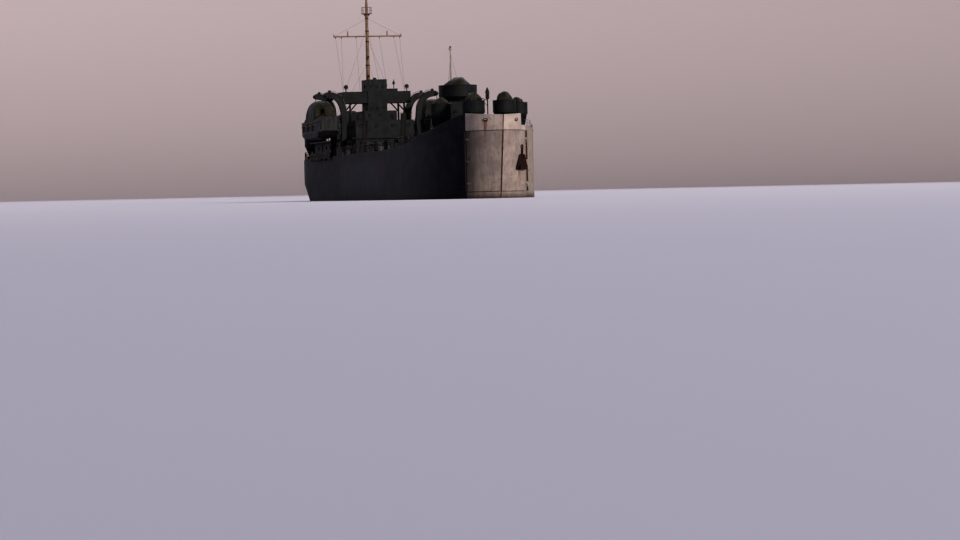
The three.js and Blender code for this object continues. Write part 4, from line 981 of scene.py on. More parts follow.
def railing(maker, path, height=1.0, wires=(0.36, 0.7), spacing=1.5, radius=0.028):
    """Stanchions along an edge, with a top rail and wires through them."""
    path = [Vector(p) for p in path]
    gaps = [(b - a).length for a, b in zip(path, path[1:])]
    count = max(1, round(sum(gaps) / spacing))
    for k in range(count + 1):
        left, i = sum(gaps) * k / count, 0
        while i < len(gaps) - 1 and left > gaps[i]:
            left, i = left - gaps[i], i + 1
        foot = path[i].lerp(path[i + 1], min(1, left / gaps[i]))
        maker.tube([foot, foot + Vector((0, 0, height))], radius, sides=6)
    for z in (*wires, height):
        maker.tube([p + Vector((0, 0, z)) for p in path], radius * (0.8 if z == height else 0.45), sides=6)


def deck_edge(side, start, stop, inset=0.14, step=1.0):
    """Points along the deck's edge, a little inside it."""
    stations = np.linspace(start, stop, max(2, round((stop - start) / step)))
    return [(s, side * (hull_breadth(s, deck_at(s)) - inset), deck_at(s)) for s in stations]


def deck_rails():
    rails = Maker()
    for side in SIDES.values():
        railing(rails, deck_edge(side, 17.3, 62.6))
    around = deck_edge(PORT, 77.5, 99.4)
    stern = around + [(s, -b, z) for s, b, z in reversed(around)]
    railing(rails, stern)
    gap = []
    for run in (2.7, 3.5, 4.4, 5.4, 6.4, 7.4, 8.4):
        s, b, _ = shell_point(run, DECK_FORWARD + 0.1, PORT, -0.12)
        gap.append((s, b, bulwark_edge(s, PORT)))
    railing(rails, gap, height=0.75, wires=(0.4,), radius=0.02)
    rails.build("deck_rails", IRON)


# Walls of the two deckhouses and the tower, and the floors that their doors stand on
LOWER_FRONT, LOWER_BACK, LOWER_HALF, LOWER_FLOOR = 64.0, 90.0, 4.2, 7.68
UPPER_FRONT, UPPER_HALF, UPPER_FLOOR, UPPER_ROOF = 65.0, 3.95, 10.1, 12.4
TOWER_FRONT, TOWER_HALF = 68.9, 1.3


def box_path(fore, aft, half, height, inset=0.1):
    """Corners of a roof's edge, the first of them again at the end."""
    fore, aft, half = fore + inset, aft - inset, half - inset
    corners = [(fore, -half), (fore, half), (aft, half), (aft, -half), (fore, -half)]
    return [(s, b, height) for s, b in corners]


def roof_rails():
    rails = Maker()
    railing(rails, box_path(76.0, 90.3, 4.75, UPPER_FLOOR))
    railing(rails, box_path(78.1, 80, UPPER_HALF, UPPER_ROOF), spacing=1.3)
    for side in SIDES.values():
        corner = [(66.6, 2.5), (65.1, 2.5), (65.1, 3.8), (68.6, 3.8)]
        railing(rails, [(s, side * b, UPPER_ROOF) for s, b in corner])
    masthead = box_path(73.65, 74.95, 0.6, 27.0, inset=0.03)
    railing(rails, masthead, height=0.8, wires=(0.4,), spacing=0.6, radius=0.02)
    rails.build("roof_rails", IRON)


def house_fronts():
    """Ports, doors, ladders and lockers on the deckhouses, the tall forward house and the conning tower."""
    steel, glass, steps, gear = Maker(), Maker(), Maker(), Maker()
    for b in (-3.3, -1.9, 1.9, 3.3):
        round_port(steel, glass, facing("fore", LOWER_FRONT, b, 9.25))
    steel_door(steel, facing("fore", LOWER_FRONT, 0, LOWER_FLOOR))
    for b in (-3.2, -1.1, 1.1, 3.2):
        round_port(steel, glass, facing("fore", UPPER_FRONT, b, 11.6))
    for b in (-1.5, 0, 1.5):
        round_port(steel, glass, facing("fore", 67.2, b, 13.05), 0.17)
    for b in (-0.8, 0, 0.8):
        round_port(steel, glass, facing("fore", TOWER_FRONT, b, 16.9), 0.16)
        round_port(steel, glass, facing("fore", TOWER_FRONT, b, 14.0), 0.16)
    for word, side in SIDES.items():
        for s in np.arange(66, 89.5, 2.35):
            round_port(steel, glass, facing(word, s, side * LOWER_HALF, 9.2))
        for s in (76.8, 85.2):
            steel_door(steel, facing(word, s, side * LOWER_HALF, LOWER_FLOOR))
        for s in (67.5, 69.6, 75.2, 77.3):
            round_port(steel, glass, facing(word, s, side * UPPER_HALF, 11.55))
        steel_door(steel, facing(word, 72.4, side * UPPER_HALF, UPPER_FLOOR))
        round_port(steel, glass, facing(word, 70.7, side * TOWER_HALF, 17.0), 0.16)
        gear.slab((70.2, side * 4.32 - 0.3, 10.12), (71.9, side * 4.32 + 0.3, 10.75), taper=0.04)
        gear.slab((66.6, side * 3.0 - 0.35, 12.42), (67.0, side * 3.0 + 0.35, 13.3), taper=0.03)
        ladder(steps, (64.55, side * 2.6, 10.12), 2.3, 0.5, lean=(0.35, 0, 0))
        ladder(steps, (62.9, side * 3.0, 7.68), 2.45, 0.6, lean=(0.75, 0, 0))
    centre = TUBS["centre_tub"][0]
    front, back = centre - HOUSE_HALF, centre + HOUSE_HALF
    round_port(steel, glass, facing("fore", front, 0.9, 11.9))
    round_port(steel, glass, facing("fore", front, -0.9, 11.9))
    steel_door(steel, facing("fore", front, 0, deck_at(front)))
    for word, side in SIDES.items():
        for z in (9.6, 11.9):
            round_port(steel, glass, facing(word, centre, side * HOUSE_HALF, z))
    ladder(steps, (back + 0.12, 0.9, deck_at(back)), 13.3 - deck_at(back), 0.45)
    steel_door(steel, facing("aft", back, -0.5, deck_at(back)))
    steel_door(steel, facing("aft", LOWER_BACK, 0, LOWER_FLOOR))
    for b in (-2.8, 2.8):
        round_port(steel, glass, facing("aft", LOWER_BACK, b, 9.2))
    steel.build("house_doors_and_rings", DARK_GREY)
    glass.build("house_port_glass", GLASS, smooth=False)
    steps.build("house_ladders", IRON)
    gear.build("house_lockers", DARK_GREY, bevel=0.03)


def centre_house():
    """The tall house under the centre platform, with a strake round its head and its middle."""
    house = Maker()
    centre = TUBS["centre_tub"][0]
    fore, aft = centre - HOUSE_HALF, centre + HOUSE_HALF
    foot = min(deck_at(fore), deck_at(aft)) - 0.05
    house.slab((fore, -HOUSE_HALF, foot), (aft, HOUSE_HALF, HOUSE_TOP))
    piece = house.build("centre_house_plating", DARK_GREY, bevel=0.06)
    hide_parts("centre_tub")
    trim = Maker()
    for z in (HOUSE_TOP - 0.06, 10.7):
        path = box_path(fore, aft, HOUSE_HALF, z, inset=-0.02)
        trim.tube(path[:-1], 0.04, sides=6, closed=True)
    trim.build("centre_house_strakes", DARK_GREY)


# Each cover's platform, radius and top
COVERS = {
    "fore_cover": ("fore_tub", 1.22, 14.05), "side_cover": ("side_tub", 1.18, 13.6),
    "centre_cover": ("centre_tub", 2.15, 16.45), "quarter_cover": ("quarter_tub", 1.32, 12.0),
    "stern_cover": ("stern_tub", 2.1, 14.3),
}
# Share of the radius and of the height, from the crown to the hem; the lashing goes round at row LASHED
COVER_PROFILE = [
    (0, 0.99), (0.16, 0.985), (0.36, 0.955), (0.56, 0.88), (0.74, 0.76), (0.86, 0.63), (0.93, 0.5),
    (0.95, 0.38), (0.92, 0.28), (0.88, 0.21), (0.89, 0.15), (0.92, 0.08), (0.95, 0.02),
]
LASHED = 9


def canvas_cover(name, station, breadth, floor, radius, top, seed):
    """A sheet draped over a mound, with lumps, pleats and creases that deepen down to its lashed skirt."""
    around, between = 96, 3
    tall = top - floor - 0.03
    profile = []
    for (r0, z0), (r1, z1) in zip(COVER_PROFILE, COVER_PROFILE[1:]):
        profile += [(r0 + (r1 - r0) * k / between, z0 + (z1 - z0) * k / between) for k in range(between)]
    profile.append(COVER_PROFILE[-1])
    rows = []
    for i, (share, height) in enumerate(profile):
        row, hang = [], min(1, i / len(profile) * 1.25)
        for turn in round_turns(around):
            spot = Vector((math.cos(turn) * 1.3, math.sin(turn) * 1.3, height * 1.6 + seed * 7.3))
            lump = noise.noise(spot * 1.1) * 0.2 + noise.noise(spot * 3.1) * 0.06
            around_point = Vector((math.cos(turn) * 2.6, math.sin(turn) * 2.6, seed * 3.1 + height * 0.5))
            pleat = noise.noise(around_point * 1.6)
            crease = 1 - 2.4 * abs(noise.noise(around_point * 1.3 + Vector((7, 3, 0))))
            fall = lump + pleat * 0.17 * hang**1.5 + 0.05 * max(0, crease) - 0.06
            r = min(radius * share * (1 + fall * min(1, share * 2)), radius * 0.985)
            level_point = Vector((math.cos(turn) * share, math.sin(turn) * share, seed * 1.7))
            dip = 0.32 * noise.noise(level_point * 1.5)
            z = floor + 0.03 + tall * height * (1 + dip * height * (1 - share * 0.6)) - tall * 0.04 * height
            row.append((station + r * math.cos(turn), breadth + r * math.sin(turn), min(z, top - 0.005)))
        rows.append(row)
    sheet = Maker()
    sheet.grid(rows, closed_columns=True)
    piece = sheet.build(name, CANVAS)
    line = rows[LASHED * between]
    middle = Vector((station, breadth, 0))
    rope = [Vector(p) + (Vector(p) - middle - Vector((0, 0, p[2]))).normalized() * 0.02 for p in line]
    cord = Maker()
    cord.tube(rope, 0.028, sides=6, closed=True)
    lashing = cord.build(f"{name}_lashing", ROPE)
    return piece, lashing


def canvas_covers():
    seed = 0
    for start, (tub, radius, top) in COVERS.items():
        station, off, _, floor = TUBS[tub][:4]
        sides = SIDES.items() if off else [("", PORT)]
        for word, side in sides:
            seed += 1
            node = f"{start}_{word}" if word else start
            piece, lashing = canvas_cover(f"{node}_canvas", station, side * off, floor, radius, top, seed)
            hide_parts(node)


BOAT_CENTRE, BOAT_HALF = 7.55, 1.6
# (station, height) along a boat's side
GUNWALE = [(64.5, 13.0), (67, 12.6), (70, 12.4), (75.5, 12.45)]
COVER_FORE, COVER_AFT, COVER_RIDGE = 67.12, 72.68, 15.18
HOOPS = (67.9, 69.2, 70.6, 71.9)


def boat_canvas(word, side):
    """A cover stretched over hoops above a boat, hollow between them, laced along the gunwales."""
    middle, reach = (COVER_FORE + COVER_AFT) / 2, (COVER_AFT - COVER_FORE) / 2
    rows = []
    for u in np.linspace(-1, 1, 81):
        station = middle + reach * math.copysign(abs(u) ** 0.8, u)
        low = look_up(GUNWALE, station) + 0.02
        end = max(0.0, 1 - abs((station - middle) / reach) ** 5) ** 0.4
        nearest = min(abs(station - hoop) for hoop in HOOPS)
        row = []
        for v in np.linspace(0, math.pi, 57):
            cos, sin = math.cos(v), math.sin(v)
            wide = math.copysign(abs(cos) ** 0.62, cos)
            high = sin**0.85
            sag = 0.1 * min(1, nearest / 0.65) ** 2 * end
            fold = noise.noise(Vector((station * 2.6, v * 0.8, side * 3.0))) * 0.11 * (1 - high) ** 0.7
            half = (BOAT_HALF + 0.02) * (0.93 + 0.07 * end) - sag * 0.6 + fold * min(1, high * 8)
            z = low + (COVER_RIDGE - low) * high * end - sag * high
            crumple = noise.noise(Vector((station * 1.4, v * 2.2, 5 + side))) * 0.06 * high * end
            row.append((station, side * (BOAT_CENTRE + half * wide), min(z + crumple, COVER_RIDGE)))
        rows.append(row)
    sheet = Maker()
    sheet.grid(rows)
    piece = sheet.build(f"boat_canvas_{word}", CANVAS, f"boat_{word}")
    lacing = Maker()
    for edge in (0, -1):
        hem = [Vector(row[edge]) for row in rows[2:-2]]
        lacing.tube([p + Vector((0, 0, 0.05)) for p in hem], 0.025, sides=6)
        for p in hem[2::5]:
            down = p + Vector((0, math.copysign(0.07, p.y - side * BOAT_CENTRE), -0.45))
            lacing.tube([p + Vector((0, 0, 0.05)), down], 0.016, sides=5)
    ties = lacing.build(f"boat_canvas_lacing_{word}", ROPE, f"boat_{word}")
    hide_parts(f"boat_cover_{word}")


def boat_canvases():
    for word, side in SIDES.items():
        boat_canvas(word, side)


NET_FORE, NET_AFT, NET_LASHING = 63.4, 76.6, 1.32


def rolled_nets():
    """Scrambling nets, rolled up and lashed along the deck's edge under the boats, their slack hanging."""
    for word, side in SIDES.items():
        net, straps = Maker(), Maker()
        rows = []
        for s in np.linspace(NET_FORE, NET_AFT, 120):
            edge = hull_breadth(s, DECK)
            row = []
            for turn in round_turns(22):
                lump = noise.noise(Vector((s * 0.9, math.cos(turn) * 1.4, math.sin(turn) * 1.4 + 9 * side)))
                strand = 0.035 * math.sin(turn * 9 + s * 7) * math.sin(turn * 9 - s * 7)
                pinch = 0.8 + 0.2 * abs(math.sin(math.pi * (s - NET_FORE) / NET_LASHING)) ** 0.5
                r = (0.36 + 0.16 * lump + strand) * pinch
                hang = 0.42 * max(0, -math.sin(turn)) * max(0, math.cos(turn)) * (1 + lump)
                b = edge + 0.02 + r * math.cos(turn) * 0.8
                row.append((s, side * b, DECK + 0.22 + r * math.sin(turn) - hang * 1.3))
            rows.append(row)
        net.grid(rows, closed_columns=True)
        piece = net.build(f"rolled_net_{word}", NETTING)
        for s in np.arange(NET_FORE + NET_LASHING, 76, NET_LASHING):
            middle = Vector((s, side * (hull_breadth(s, DECK) + 0.02), DECK + 0.2))
            strap = oval(middle, Vector((0, side * 0.3, 0)), Vector((0, 0, 0.33)), 16)
            straps.tube(strap, 0.035, sides=6, closed=True)
        straps.build(f"net_lashings_{word}", ROPE)


# (breadth, height) along the outer and inner edges of a davit arm, and of the fall rope on it
ARM_OUTER = [(5.02, 8.3), (4.85, 10.4), (4.72, 12.6), (4.9, 14.2), (5.5, 15.45), (6.35, 16.1), (7.4, 16.2)]
ARM_INNER = [(5.5, 8.6), (5.45, 12.6), (5.6, 14.0), (6.0, 14.9), (6.6, 15.4), (7.4, 15.55)]
ARM_ROPE = [(7.15, 16.45), (6.3, 16.3), (5.35, 15.75), (4.8, 14.4), (4.62, 12.6), (4.75, 10.4), (4.9, 8.8)]
ARM_STATIONS = (66.8, 73.3)


def davit_fittings():
    """Flanges, sheaves and fall ropes on the davit arms, which swing with them."""
    for word, side in SIDES.items():
        iron, rope = Maker(), Maker()
        for station in ARM_STATIONS:
            for edge in (ARM_OUTER, ARM_INNER):
                curve = [(station, side * b, z) for b, z in bent(edge)]
                for shift in (-0.17, 0.17):
                    iron.tube([(s + shift, b, z) for s, b, z in curve], 0.05, sides=6)
            for b, z in ((7.0, 16.32), (5.3, 15.5)):
                iron.tube([(station - 0.08, side * b, z), (station + 0.08, side * b, z)], 0.2, sides=16)
                iron.tube([(station - 0.14, side * b, z), (station + 0.14, side * b, z)], 0.06, sides=8)
            rope.tube([(station, side * b, z) for b, z in ARM_ROPE], 0.035, sides=6)
        iron.build(f"davit_flanges_{word}", DARK_GREY, f"davits_{word}")
        rope.build(f"davit_fall_ropes_{word}", ROPE, f"davits_{word}")


def bent(points, between=4):
    """A smooth curve through points of a plane."""
    points = [Vector((*p, 0)) for p in points]
    ends = [points[0] * 2 - points[1], *points, points[-1] * 2 - points[-2]]
    curve = []
    for p0, p1, p2, p3 in zip(ends, ends[1:], ends[2:], ends[3:]):
        for k in range(between):
            t = k / between
            a, b = 2 * p1, p2 - p0
            c, d = 2 * p0 - 5 * p1 + 4 * p2 - p3, 3 * p1 - p0 - 3 * p2 + p3
            curve.append((a + b * t + c * t * t + d * t**3) / 2)
    curve.append(points[-1])
    return [(p.x, p.y) for p in curve]


# (station, half-breadth) along a boat's rubbing strake, and (radius, height) down a rope fender
STRAKE = ((65.0, 1.38), (66.4, 1.56), (68, 1.61), (70, 1.61), (73, 1.61), (75.45, 1.44))
FENDER = [(0, 12.0), (0.09, 11.95), (0.13, 11.8), (0.14, 11.5), (0.12, 11.2), (0.06, 11.05), (0, 11.02)]


def boat_fittings():
    """Rubbing strakes, rope fenders and cleats on each boat."""
    for word, side in SIDES.items():
        body = f"boat_{word}"
        wood, rope, iron = Maker(), Maker(), Maker()
        for out in (-1, 1):
            line = []
            for s, half in STRAKE:
                rise = 0.1 * max(0, (67 - s) / 2)
                line.append((s, side * (BOAT_CENTRE + out * (half + 0.05)), 12.28 + rise))
            wood.tube(line, 0.06, sides=8)
            for s in (67.6, 70.4, 73.0):
                b = side * (BOAT_CENTRE + out * (BOAT_HALF + 0.17))
                rope.turned(s, b, FENDER, sides=12)
                rope.tube([(s, b, 12.0), (s, side * (BOAT_CENTRE + out * BOAT_HALF), 12.42)], 0.02, sides=5)
            for s in (64.9, 75.2):
                b = side * (BOAT_CENTRE + out * 1.15)
                top = look_up(GUNWALE, s)
                iron.tube([(s - 0.12, b, top + 0.03), (s + 0.12, b, top + 0.03)], 0.045, sides=6)
                iron.tube([(s, b, top - 0.02), (s, b, top + 0.12)], 0.05, sides=6)
        wood.build(f"boat_strakes_{word}", WOOD, body)
        rope.build(f"boat_fenders_{word}", ROPE, body)
        iron.build(f"boat_cleats_{word}", IRON, body)


MAST_STATION = 74.3
YARD_Z = 23.9
# (radius, height over its foot) of a mast lamp
MAST_LAMP = ((0.13, 0), (0.13, 0.05), (0.1, 0.06), (0.1, 0.26), (0.14, 0.28), (0.0, 0.38))


def mast_radius(z):
    """The main mast tapers from 0.32 m at its foot to 0.17 m at its head."""
    foot, head, low, top = 0.32, 0.17, 13.1, 28.5
    return foot + (head - foot) * (z - low) / (top - low)


def mast_rigging():
    """Rungs, bands, lamps, halyards and thin stays on the main mast and the pole."""
    iron, wire, glass = Maker(), Maker(), Maker()
    for z in np.arange(13.8, 26.6, 0.42):
        s = MAST_STATION + mast_radius(z) * 0.92
        rung = [(s, -0.2, z), (s + 0.13, -0.2, z), (s + 0.13, 0.2, z), (s, 0.2, z)]
        iron.tube(rung, 0.022, sides=5)
    for z in (17.0, 20.0, 23.2, 24.6, 26.3):
        band = [(MAST_STATION, 0, z - 0.07), (MAST_STATION, 0, z + 0.07)]
        iron.tube(band, mast_radius(z) + 0.04, sides=16)
    for z in (15.74, 18.34, 20.94):
        iron.turned(MAST_STATION - 0.4, 0, [(r, z + up) for r, up in MAST_LAMP], 14)
        glass.turned(MAST_STATION - 0.4, 0, [(0.115, z + 0.07), (0.115, z + 0.25)], 14)
    yard = MAST_STATION - 0.3
    for b in (-4.4, -3.6, -1.6, 1.6, 3.6, 4.4):
        iron.tube([(yard, b, YARD_Z - 0.28), (yard, b, YARD_Z - 0.1)], 0.05, sides=6)
        foot = 4.2 if abs(b) > 3 else 1.9
        wire.tube([(yard, b, YARD_Z - 0.25), (70.9, math.copysign(foot, b), 16.2)], 0.012, sides=4)
    for side in (-1, 1):
        wire.tube([(yard, side * 4.5, YARD_Z + 0.05), (MAST_STATION, side * 0.18, 26.2)], 0.012, sides=4)
        stays = ((79.4, 3.7, UPPER_ROOF, 24.6), (68.0, 1.1, 17.0, 23.2), (79.4, 3.7, UPPER_ROOF, 20.0))
        for s, b, z, high in stays:
            wire.tube([(MAST_STATION, side * 0.2, high), (s, side * b, z + 0.05)], 0.013, sides=4)
            iron.tube([(s, side * b, z), (s, side * b, z + 0.3)], 0.035, sides=6)
    pole = 26.8
    for s, b in ((24.9, 1.0), (24.9, -1.0), (31.0, 0.0)):
        low = 13.45 if s < 26 else deck_at(s)
        wire.tube([(pole, 0, 19.6), (s, b, low)], 0.012, sides=4)
        iron.tube([(s, b, low), (s, b, low + 0.25)], 0.03, sides=6)
    glass.turned(pole, 0, [(0.0, 20.3), (0.1, 20.32), (0.13, 20.4), (0.1, 20.5), (0.0, 20.55)], 12)
    iron.build("mast_irons", IRON)
    wire.build("mast_wires", ROPE)
    glass.build("mast_lamps", GLASS)


def bridge_gear():
    """Rails, searchlights, compass stands and posts on the tower and its wings."""
    steel, glass = Maker(), Maker()
    steel.tube(box_path(68.92, 72.58, 1.28, 17.87, inset=0)[:-1], 0.06, sides=8, closed=True)
    for side in (-1, 1):
        wing = [(69.02, 1.3), (69.02, 4.54), (73.08, 4.54), (73.08, 1.3)]
        steel.tube([(s, side * b, 16.27) for s, b in wing], 0.055, sides=8)
        post = side * 4.15
        steel.tube([(69.5, post, 14.95), (69.5, post, 16.75)], 0.06, sides=8)
        drum = [(69.25 + 0.5 * k / 4, post, 17.0) for k in range(5)]
        steel.tube(drum, [0.2, 0.27, 0.27, 0.24, 0.12], sides=16)
        glass.tube([(69.21, post, 17.0), (69.24, post, 17.0)], 0.19, sides=16)
        fork = [(-0.28, 17.0), (-0.26, 16.7), (0.26, 16.7), (0.28, 17.0)]
        steel.tube([(69.5, post + b, z) for b, z in fork], 0.03, sides=6)
        stand = [
            (0.0, 14.96), (0.22, 14.96), (0.12, 15.1), (0.1, 15.9), (0.22, 16.0), (0.24, 16.2),
            (0.16, 16.32), (0.0, 16.36),
        ]
        steel.turned(70.6, side * 2.4, stand, 16)
        for k in range(3):
            steel.slab((70.2 + k * 0.7, side * 4.4, 15.0), (70.75 + k * 0.7, side * 4.05, 15.75), taper=0.02)
    steel.tube([(70.0, 2.5, 16.7), (70.0, 2.5, 17.9)], 0.05, sides=8)
    steel.turned(70.0, 2.5, [(0.05, 17.2), (0.16, 17.3), (0.16, 17.6), (0.05, 17.7)], 12)
    compass = [
        (0, 16.66), (0.25, 16.66), (0.14, 16.8), (0.12, 17.8), (0.26, 17.95), (0.22, 18.15), (0, 18.25),
    ]
    steel.turned(70.4, 0, compass, 16)
    for b in (3.712, -3.712):
        for s in (69.4, 72.7):
            steel.tube([(s, b, 12.42), (s, b, 14.8)], 0.07, sides=8)
    steel.build("bridge_gear", DARK_GREY)
    glass.build("bridge_lamp_glass", GLASS)


def lamp_post():
    """The thin post on the forecastle, with a hooded lamp and a short arm to starboard."""
    post = Maker()
    s, b = 6.2, -0.42
    post.tube([(s, b, DECK_FORWARD), (s, b, 13.6)], 0.075, sides=10)
    post.turned(s, b, [(0.0, 9.6), (0.26, 9.6), (0.26, 9.68), (0.1, 9.75)], 14)
    lens = Maker()
    socket = [(0.0, 13.1), (0.16, 13.12), (0.24, 13.3), (0.24, 13.42), (0.17, 13.44), (0.0, 13.44)]
    post.turned(s, b, socket, 18)
    lens.turned(s, b, [(0.0, 13.43), (0.17, 13.43), (0.2, 13.65), (0.17, 13.87), (0.0, 13.87)], 18)
    hood = [
        (0.0, 13.86), (0.27, 13.86), (0.27, 13.92), (0.2, 14.2), (0.1, 14.4), (0.05, 14.56), (0.0, 14.57),
    ]
    post.turned(s, b, hood, 18)
    for k in range(6):
        turn = math.pi * k / 3
        c, d = 0.225 * math.cos(turn), 0.225 * math.sin(turn)
        post.tube([(s + c, b + d, 13.4), (s + c, b + d, 13.88)], 0.018, sides=5)
    lens.build("forecastle_lamp_glass", GLASS)
    post.tube([(s, b, 12.95), (s, b - 0.5, 13.15), (s, b - 1.25, 13.3)], 0.05, sides=8)
    post.tube([(s, b, 12.3), (s, b - 0.9, 13.2)], 0.03, sides=6)
    bell = [
        (0.0, 13.22), (0.03, 13.22), (0.06, 13.12), (0.13, 12.98), (0.19, 12.88), (0.17, 12.88), (0.0, 13.0),
    ]
    post.turned(s, b - 1.1, bell, 18)
    post.build("forecastle_lamp_post", IRON)


STRINGER_HEIGHTS = (2.5, 3.9, 5.3, 6.7, 8.1)
DOOR_INSIDE = 0.33


def inner_point(station, z, depth):
    """A point inside the bow's plating, moved in square to it by depth."""
    here = Vector((station, skin_breadth(station, z)))
    along = (Vector((station + 0.05, skin_breadth(station + 0.05, z))) - here).normalized()
    return here + Vector((along.y, -along.x)) * depth


def to_side(rows, side):
    """Rows of (station, breadth, height), their breadths taken to one side of the ship."""
    return [[(s, side * b, z) for s, b, z in row] for row in rows]


def door_framing():
    """Stringers and upright frames welded to the doors' inner faces."""
    for word, side in SIDES.items():
        framing = Maker()
        for z in STRINGER_HEIGHTS:
            corners = []
            for station in np.linspace(stem_at(z) + 0.8, 3.9, 12):
                skin, edge = (inner_point(station, z, DOOR_INSIDE + depth) for depth in (0, 0.2))
                corners.append([(*skin, z), (*edge, z), (*edge, z + 0.07), (*skin, z + 0.07)])
            framing.bar(to_side(corners, side))
        for lean, start in ((1, 0.95), (0, 3.0), (0, 3.75)):
            corners = []
            for z in np.linspace(1.95, 8.95, 12):
                station = start + lean * stem_at(z)
                fore = [inner_point(station, z, depth) for depth in (DOOR_INSIDE, DOOR_INSIDE + 0.14)]
                aft = [inner_point(station + 0.08, z, depth) for depth in (DOOR_INSIDE + 0.14, DOOR_INSIDE)]
                corners.append([(*p, z) for p in fore + aft])
            framing.bar(to_side(corners, side))
        framing.build(f"door_framing_{word}", DARK_GREY, f"door_{word}", smooth=False)


# The tank deck's height, the half-breadths of the mouth and the hold, and where the hold is
TANK_DECK = 3.2
MOUTH_HALF, HOLD_HALF = 2.42, 4.47
HOLD_STATIONS = (14.04, 71.94)
HOLD_HEAD = 7.19


def tank_deck_fittings():
    """Grey floors of the well and the tank deck with their lashing points, and the frames of the hold."""
    floors, frames = Maker(), Maker()
    rows = []
    for station in np.linspace(stem_at(WELL_FLOOR) + 0.75, 6.55, 14):
        half = skin_breadth(station, WELL_FLOOR) - 0.6
        rows.append([(station, b * half, z) for b, z in ((-1, 1.69), (1, 1.69), (1, 1.712), (-1, 1.712))])
    floors.bar(rows)
    sill_half = skin_breadth(6.58, WELL_FLOOR) - 0.6
    floors.slab((6.56, -sill_half, WELL_FLOOR), (6.62, sill_half, TANK_DECK - 0.07))
    fore, aft = HOLD_STATIONS
    floors.slab((6.66, -MOUTH_HALF, TANK_DECK - 0.01), (fore, MOUTH_HALF, TANK_DECK + 0.014))
    floors.slab((fore, -HOLD_HALF, TANK_DECK - 0.01), (aft, HOLD_HALF, TANK_DECK + 0.014))
    for s in np.arange(8.0, aft, 3.66):
        for b in ((-1.5, 1.5) if s < fore else (-3.4, -1.15, 1.15, 3.4)):
            lashing_point(floors, s, b, TANK_DECK + 0.01)
    for s in np.arange(fore + 0.6, aft - 0.3, 1.83):
        for side in SIDES.values():
            low, high = sorted((side * (HOLD_HALF - 0.16), side * (HOLD_HALF + 0.02)))
            frames.slab((s - 0.05, low, TANK_DECK + 0.02), (s + 0.05, high, HOLD_HEAD))
        frames.slab((s - 0.05, -HOLD_HALF, HOLD_HEAD - 0.2), (s + 0.05, HOLD_HALF, HOLD_HEAD))
    floors.build("tank_deck_floors", DECK_GREY, smooth=False)
    frames.build("hold_frames", HAZE_GREY, smooth=False)


SCREW_PLACE = (91.0, 3.0, 1.35)
SCREW_RADIUS = 1.06
# (distance aft, radius) along the boss
BOSS_PROFILE = [
    (-0.38, 0.0), (-0.38, 0.27), (-0.35, 0.3), (0.14, 0.3), (0.26, 0.25), (0.34, 0.15), (0.38, 0.0),
]


def blade_rows(turn):
    """Rows of one screw blade from root to tip, as (aft, across, up) from the middle of the boss."""
    out = Vector((0, math.cos(turn), math.sin(turn)))
    round_about = Vector((0, -math.sin(turn), math.cos(turn)))
    aft = Vector((1, 0, 0))
    rows = []
    for share in np.linspace(0, 1, 15):
        if share < 0.55:
            half = 0.2 + 0.3 * math.sin(math.pi / 2 * share / 0.55)
        else:
            half = 0.5 * math.sqrt(max(0.004, 1 - ((share - 0.55) / 0.45) ** 2))
        lean = 0.5 + 0.5 * share
        chord = aft * math.cos(lean) + round_about * math.sin(lean)
        square = round_about * math.cos(lean) - aft * math.sin(lean)
        middle = out * (0.26 + (SCREW_RADIUS - 0.26) * share)
        thickness = 0.055 * (1 - 0.7 * share)
        face = [(v, thickness * (1 - v * v) + 0.006) for v in np.linspace(-1, 1, 9)]
        back = [(v, -t) for v, t in reversed(face)]
        rows.append([middle + chord * half * v + square * t for v, t in face + back])
    return rows


def screws():
    """Three-bladed screws: a turned boss with its cap, and blades that twist and thin towards their tips."""
    station, breadth, z = SCREW_PLACE
    boss = [[(x, r * math.cos(t), r * math.sin(t)) for t in round_turns(36)] for x, r in BOSS_PROFILE]
    blades = [blade_rows(math.pi / 2 + turn) for turn in round_turns(3)]
    for word, side in SIDES.items():
        wheel = Maker()
        for rows in (boss, *blades):
            placed = [[(station + x, breadth + b, z + up) for x, b, up in row] for row in rows]
            wheel.bar(to_side(placed, side))
        piece = wheel.build(f"screw_wheel_{word}", BRONZE, f"screw_{word}")
        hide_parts(f"propeller_{word}")


def link_chain(maker, path, pitch=0.3, wire=0.045):
    """Open links, each turned a quarter from the last, along a path."""
    path = [Vector(p) for p in path]
    places, left = [], 0.0
    for a, b in zip(path, path[1:]):
        length = (b - a).length
        while left < length:
            places.append((a.lerp(b, left / length), (b - a).normalized()))
            left += pitch * 0.72
        left -= length
    for i, (point, along) in enumerate(places):
        side = along.cross(Vector((0, 0, 1))).normalized() if abs(along.z) < 0.9 else Vector((0, 1, 0))
        if i % 2:
            side = along.cross(side)
        maker.tube(oval(point, along * pitch / 2, side * pitch * 0.27, 12), wire, sides=5, closed=True)


# Station and breadth of each rope reel and access hatch, and with a count those of each stack of life floats
REELS = ((15.5, 2.6), (15.5, -2.6), (33.0, 3.8), (59.5, -3.2), (84.0, 5.2), (84.0, -5.2))
ACCESS_HATCHES = ((19.5, 0), (31.0, 2.8), (31.0, -2.8), (49.5, 3.0), (49.5, -3.0), (60.8, 0))
FLOAT_STACKS = ((54.5, 3.9, 3), (54.5, -3.9, 3), (57.8, 3.9, 2), (82.0, 2.6, 2), (82.0, -2.6, 2))


